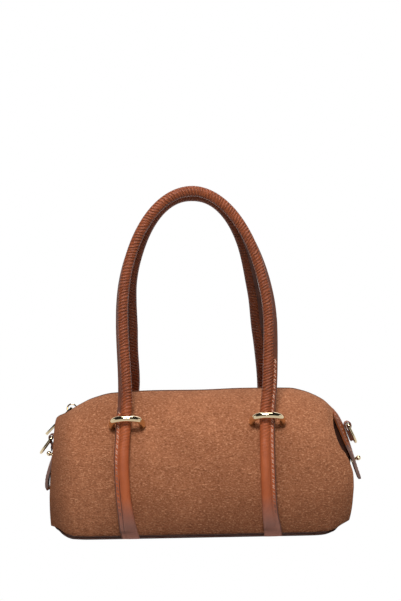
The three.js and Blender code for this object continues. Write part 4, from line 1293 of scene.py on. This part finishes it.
def leg_stations(name, side):
    """Stations of a leg from its foot to the top of the arch: a point and the section's columns."""
    top, bows = HANDLES[name]
    leg = 0 if side < 0 else 1
    path_at = smooth_table(PATHS[name])
    stations = []

    def add(z, depth, columns, out=None):
        span, middle = path_at(z)
        half, thick, fin, *turns = columns
        x = middle + side * (span if out is None else out)
        stations.append([x, -depth, z, half, thick, fin, turns[leg]])

    for z in (0.6, 5):
        add(z, FOOT_DEPTH, leg_at(z))
    place = KEEPER_OFFSET / HALF_LENGTH
    for share in spread(11, *LAID_SHARES):
        wall = wall_point(place, share)
        columns = leg_at(wall.z)
        centre = wall + wall_normal(place, share) * (columns[1] + HANDLE_GAP)
        add(centre.z, -centre.y, columns)
    for z in spread(9, FREE_DEPTH[0][0], ARCH_BASE - 9):
        add(z, free_depth_at(z)[0], leg_at(z))
    power = 2 / bows[leg]
    for turn in spread(12, 0, math.pi / 2):
        z = ARCH_BASE + (top - ARCH_BASE) * max(math.sin(turn), 0) ** power
        out = path_at(ARCH_BASE)[0] * max(math.cos(turn), 0) ** power
        add(z, ARCH_DEPTH - ARCH_LEAN * math.sin(turn), leg_at(z), out)
    return stations


def handle_stations(name):
    """Stations of a whole front-facing handle, from the left foot over the top to the right one."""
    return leg_stations(name, -1) + leg_stations(name, 1)[-2::-1]


def even_curve(stations, count):
    """Rows of numbers at even distances along a smooth curve through stations."""
    gaps = [(Vector(b[:3]) - Vector(a[:3])).length for a, b in zip(stations, stations[1:])]
    distances = [sum(gaps[:i]) for i in range(len(stations))]
    at = smooth_curve([[distance, *row] for distance, row in zip(distances, stations)])
    return [at(distance) for distance in spread(count, 0, distances[-1])], distances[-1]


def handle_frames(name, count):
    """Frames along a handle: X out of the arch, Y to the front, Z along it, with the section's columns."""
    rows, length = even_curve(handle_stations(name), count)
    points = [Vector(row[:3]) for row in rows]
    front = Vector((0, -1, 0))
    frames = []
    for i, row in enumerate(rows):
        along = points[min(i + 1, count - 1)] - points[max(i - 1, 0)]
        upright = 1 - ease(points[i].z, FOOT_TAB, 2 * FOOT_TAB)
        along.x *= 1 - upright
        along.y *= 1 - upright
        along.normalize()
        outward = front.cross(along).normalized()
        frames.append((points[i], outward, along.cross(outward), along, row[3:]))
    return frames, length


def roll_section(turn_share, half, thick, fin, turn):
    """Outline of a handle's section, once round from the tip of its fin: distance out and to the front."""
    angle = math.radians(turn)
    power = 2 / (2 + 3 * clamp(1 - thick / half))

    def oval(a):
        c, s = math.cos(a), math.sin(a)
        return math.copysign(abs(c) ** power, c) * half, math.copysign(abs(s) ** power, s) * thick

    if FIN_SHARE <= turn_share <= 1 - FIN_SHARE:
        t = (turn_share - FIN_SHARE) / (1 - 2 * FIN_SHARE)
        return oval(angle + FIN_OPENING + t * 2 * (math.pi - FIN_OPENING))
    side = 1 if turn_share < FIN_SHARE else -1
    k = (turn_share if side > 0 else 1 - turn_share) / FIN_SHARE
    x, y = oval(angle + side * FIN_OPENING)
    root = x * math.cos(angle) + y * math.sin(angle)
    width = side * (y * math.cos(angle) - x * math.sin(angle))
    tip = math.hypot(*oval(angle)) + fin
    edge = min(FIN_HALF, thick * 0.4)
    reach_out = tip + (root - tip) * k
    half_width = edge * math.sqrt(1 - (1 - min(k / 0.3, 1)) ** 2) + (width - edge) * k**3
    return (
        reach_out * math.cos(angle) - side * half_width * math.sin(angle),
        reach_out * math.sin(angle) + side * half_width * math.cos(angle),
    )


def make_handle(name):
    """Rolled handle with a sewn fin; its feet are flat tabs."""
    count, sides = 400, 48
    frames, length = handle_frames(name, count)

    def place(across, up):
        point, outward, frontward, _, columns = frames[round(across * (count - 1))]
        x, y = roll_section(up, *columns)
        return point + outward * x + frontward * y

    shape = formed_sheet(count - 1, sides, place, (length, ROLL_GIRTH))
    surface = shape.loops.layers.uv.active

    def painted_or_crease_shaded(face):
        corners = [corner[surface].uv for corner in face.loops]
        along = sum(uv.x for uv in corners) / len(corners) / (length * MM)
        around = sum(uv.y for uv in corners) / len(corners) / (ROLL_GIRTH * MM)
        fin_turn = frames[round(along * (count - 1))][4][3]
        # where the fin is turned away, nearly all of it takes the dark edge colour as painted shade
        painted = FIN_PAINTED if fin_turn > FIN_SEEN else FIN_SHADE_TURNED
        from_fin = min(around, 1 - around)
        at_root = abs(from_fin - FIN_SHARE) < 0.9 / sides
        middle = face.calc_center_median()
        # painted shade in the crease between fin and roll on the left legs
        crease_shaded = at_root and middle.x < 0 and CREASE_SHADE_FOOT < middle.z < CREASE_SHADE_TOP
        return from_fin < FIN_SHARE * painted or crease_shaded

    paint_faces(shape, painted_or_crease_shaded)
    closed_tube(shape)
    seam = fin_seam(frames)
    if name == "back":
        mirrored(shape)
        mirrored(seam)
    nodes = [f"{name}_handle"]
    roll = add_piece(f"{name}_roll", shape, [ROLL_FINISH, FIN_EDGE_AND_SHADE_FINISH], nodes, slot="handle_leather")
    stitches = add_piece(f"{name}_roll_seam", seam, [THREAD_FINISH], slot="handle_leather")
    return roll, stitches


def fin_seam(frames):
    """Slanted stitches on both faces of the fin, up to where it folds back against the roll."""
    seam = bmesh.new()
    spacing = (frames[1][0] - frames[0][0]).length
    for i in range(int(len(frames) * spacing / STITCH_PITCH)):
        spot = int(i * STITCH_PITCH / spacing)
        point, outward, frontward, along, (half, thick, fin, turn) = frames[spot]
        if point.z < SEAM_FOOT or turn < FIN_SEEN:
            continue
        angle = math.radians(turn)
        out = outward * math.cos(angle) + frontward * math.sin(angle)
        across = frontward * math.cos(angle) - outward * math.sin(angle)
        middle = point + out * (half + STITCH_PLACE * fin)
        for side in (-1, 1):
            lie = along + out * STITCH_SLANT * side
            place = middle + across * side * (FIN_HALF + 0.1)
            add_stitch(seam, place, lie, STITCH_LENGTH, STITCH_RADIUS)
    return seam


def make_stage(flagged):
    """White floor that turns up into a backdrop, soft lights and a dim surround."""

    def place(across, up):
        run = up * FLOOR_RUN
        quarter = math.pi / 2
        bend = clamp((run - FLOOR_FLAT) / (FLOOR_BEND * quarter)) * quarter
        wall = max(run - FLOOR_FLAT - FLOOR_BEND * quarter, 0)
        y = FLOOR_FRONT + min(run, FLOOR_FLAT) + FLOOR_BEND * math.sin(bend)
        z = FLOOR_BEND * (1 - math.cos(bend)) + wall
        return Vector(((across - 0.5) * FLOOR_WIDTH, y, z))

    new_object("floor", formed_sheet(2, 120, place), [floor_finish()])
    lights = {name: add_light(name, *values) for name, values in LIGHTS.items()}
    flag_off(lights["key_light"], flagged)
    light_surround()
    bpy.context.scene.view_settings.view_transform = "Standard"


def floor_finish():
    """Matt paper that is white to the camera and in reflections, and gives back little light."""
    finish, tree, shader, whole, _ = new_finish("floor", {"Roughness": 0.9})
    paper = ground_of(tree, use_group(tree, MOTTLE, whole, 1.5)["Tone"], PAPER_COLOURS)
    feed(tree, shader, {"Base Color": paper})
    white = place_node(tree, "Emission", {"Strength": 1.0}).outputs[0]
    rays = place_node(tree, "LightPath").outputs
    behind = reach(tree, place_node(tree, "SeparateXYZ", {0: whole}).outputs["Y"], -0.5, 0.3, 0.3, 0.9)
    mirrored_white = calculate(tree, "MULTIPLY", rays["Is Glossy Ray"], behind)
    seen = calculate(tree, "MAXIMUM", rays["Is Camera Ray"], mirrored_white)
    mixed = place_node(tree, "MixShader", {0: seen, 1: shader.outputs[0], 2: white}).outputs[0]
    feed(tree, tree.nodes["Material Output"], {"Surface": mixed})
    return finish


def light_surround():
    """Surround, white to the camera and dim on the bag; in reflections dark but for pale sides."""
    world = bpy.data.worlds.new("surround")
    world.use_nodes = True
    tree = world.node_tree
    surround = tree.nodes["Background"]
    surround.inputs["Color"].default_value = (1, 1, 1, 1)
    rays = place_node(tree, "LightPath").outputs
    direction = place_node(tree, "TexCoord").outputs["Generated"]
    sideways = place_node(tree, "SeparateXYZ", {0: direction}).outputs["X"]
    cards = reach(tree, calculate(tree, "ABSOLUTE", sideways, 0), 0.88, 0.95, 0.02, 0.9)
    mirrored_part = calculate(tree, "MULTIPLY", rays["Is Glossy Ray"], cards)
    lit_part = reach(tree, rays["Is Glossy Ray"], 0, 1, 0.16, 0.0)
    dim = calculate(tree, "ADD", mirrored_part, lit_part)
    seen = calculate(tree, "MAXIMUM", rays["Is Camera Ray"], dim)
    tree.links.new(seen, surround.inputs["Strength"])
    bpy.context.scene.world = world


def add_light(name, location, target, width, height, power):
    """Rectangular lamp, aimed at a height on the bag's upright axis."""
    data = bpy.data.lights.new(name, "AREA")
    data.shape = "RECTANGLE"
    data.size, data.size_y = width, height
    data.energy = power
    light = bpy.data.objects.new(name, data)
    light.location = location
    aim = Vector((0, 0, target)) - Vector(location)
    light.rotation_euler = aim.to_track_quat("-Z", "Y").to_euler()
    bpy.context.collection.objects.link(light)
    return light


def flag_off(light, pieces):
    """Keeps a light off some pieces, as a black card beside a lamp does."""
    shaded = bpy.data.collections.new(f"{light.name}_flag")
    for piece in pieces:
        shaded.objects.link(piece)
    for entry in shaded.collection_objects:
        entry.light_linking.link_state = "EXCLUDE"
    light.light_linking.receiver_collection = shaded


camera_at_photo()
make_panels()
make_gussets()
make_base()
make_welts()
make_zip()
make_slider()
make_puller()
for end in FITTINGS:
    make_tab(end)
    make_loop(end)
    make_strap_ring(end)
    make_stud(end)
make_keepers()
make_handle("front")
make_stage(flagged=make_handle("back"))
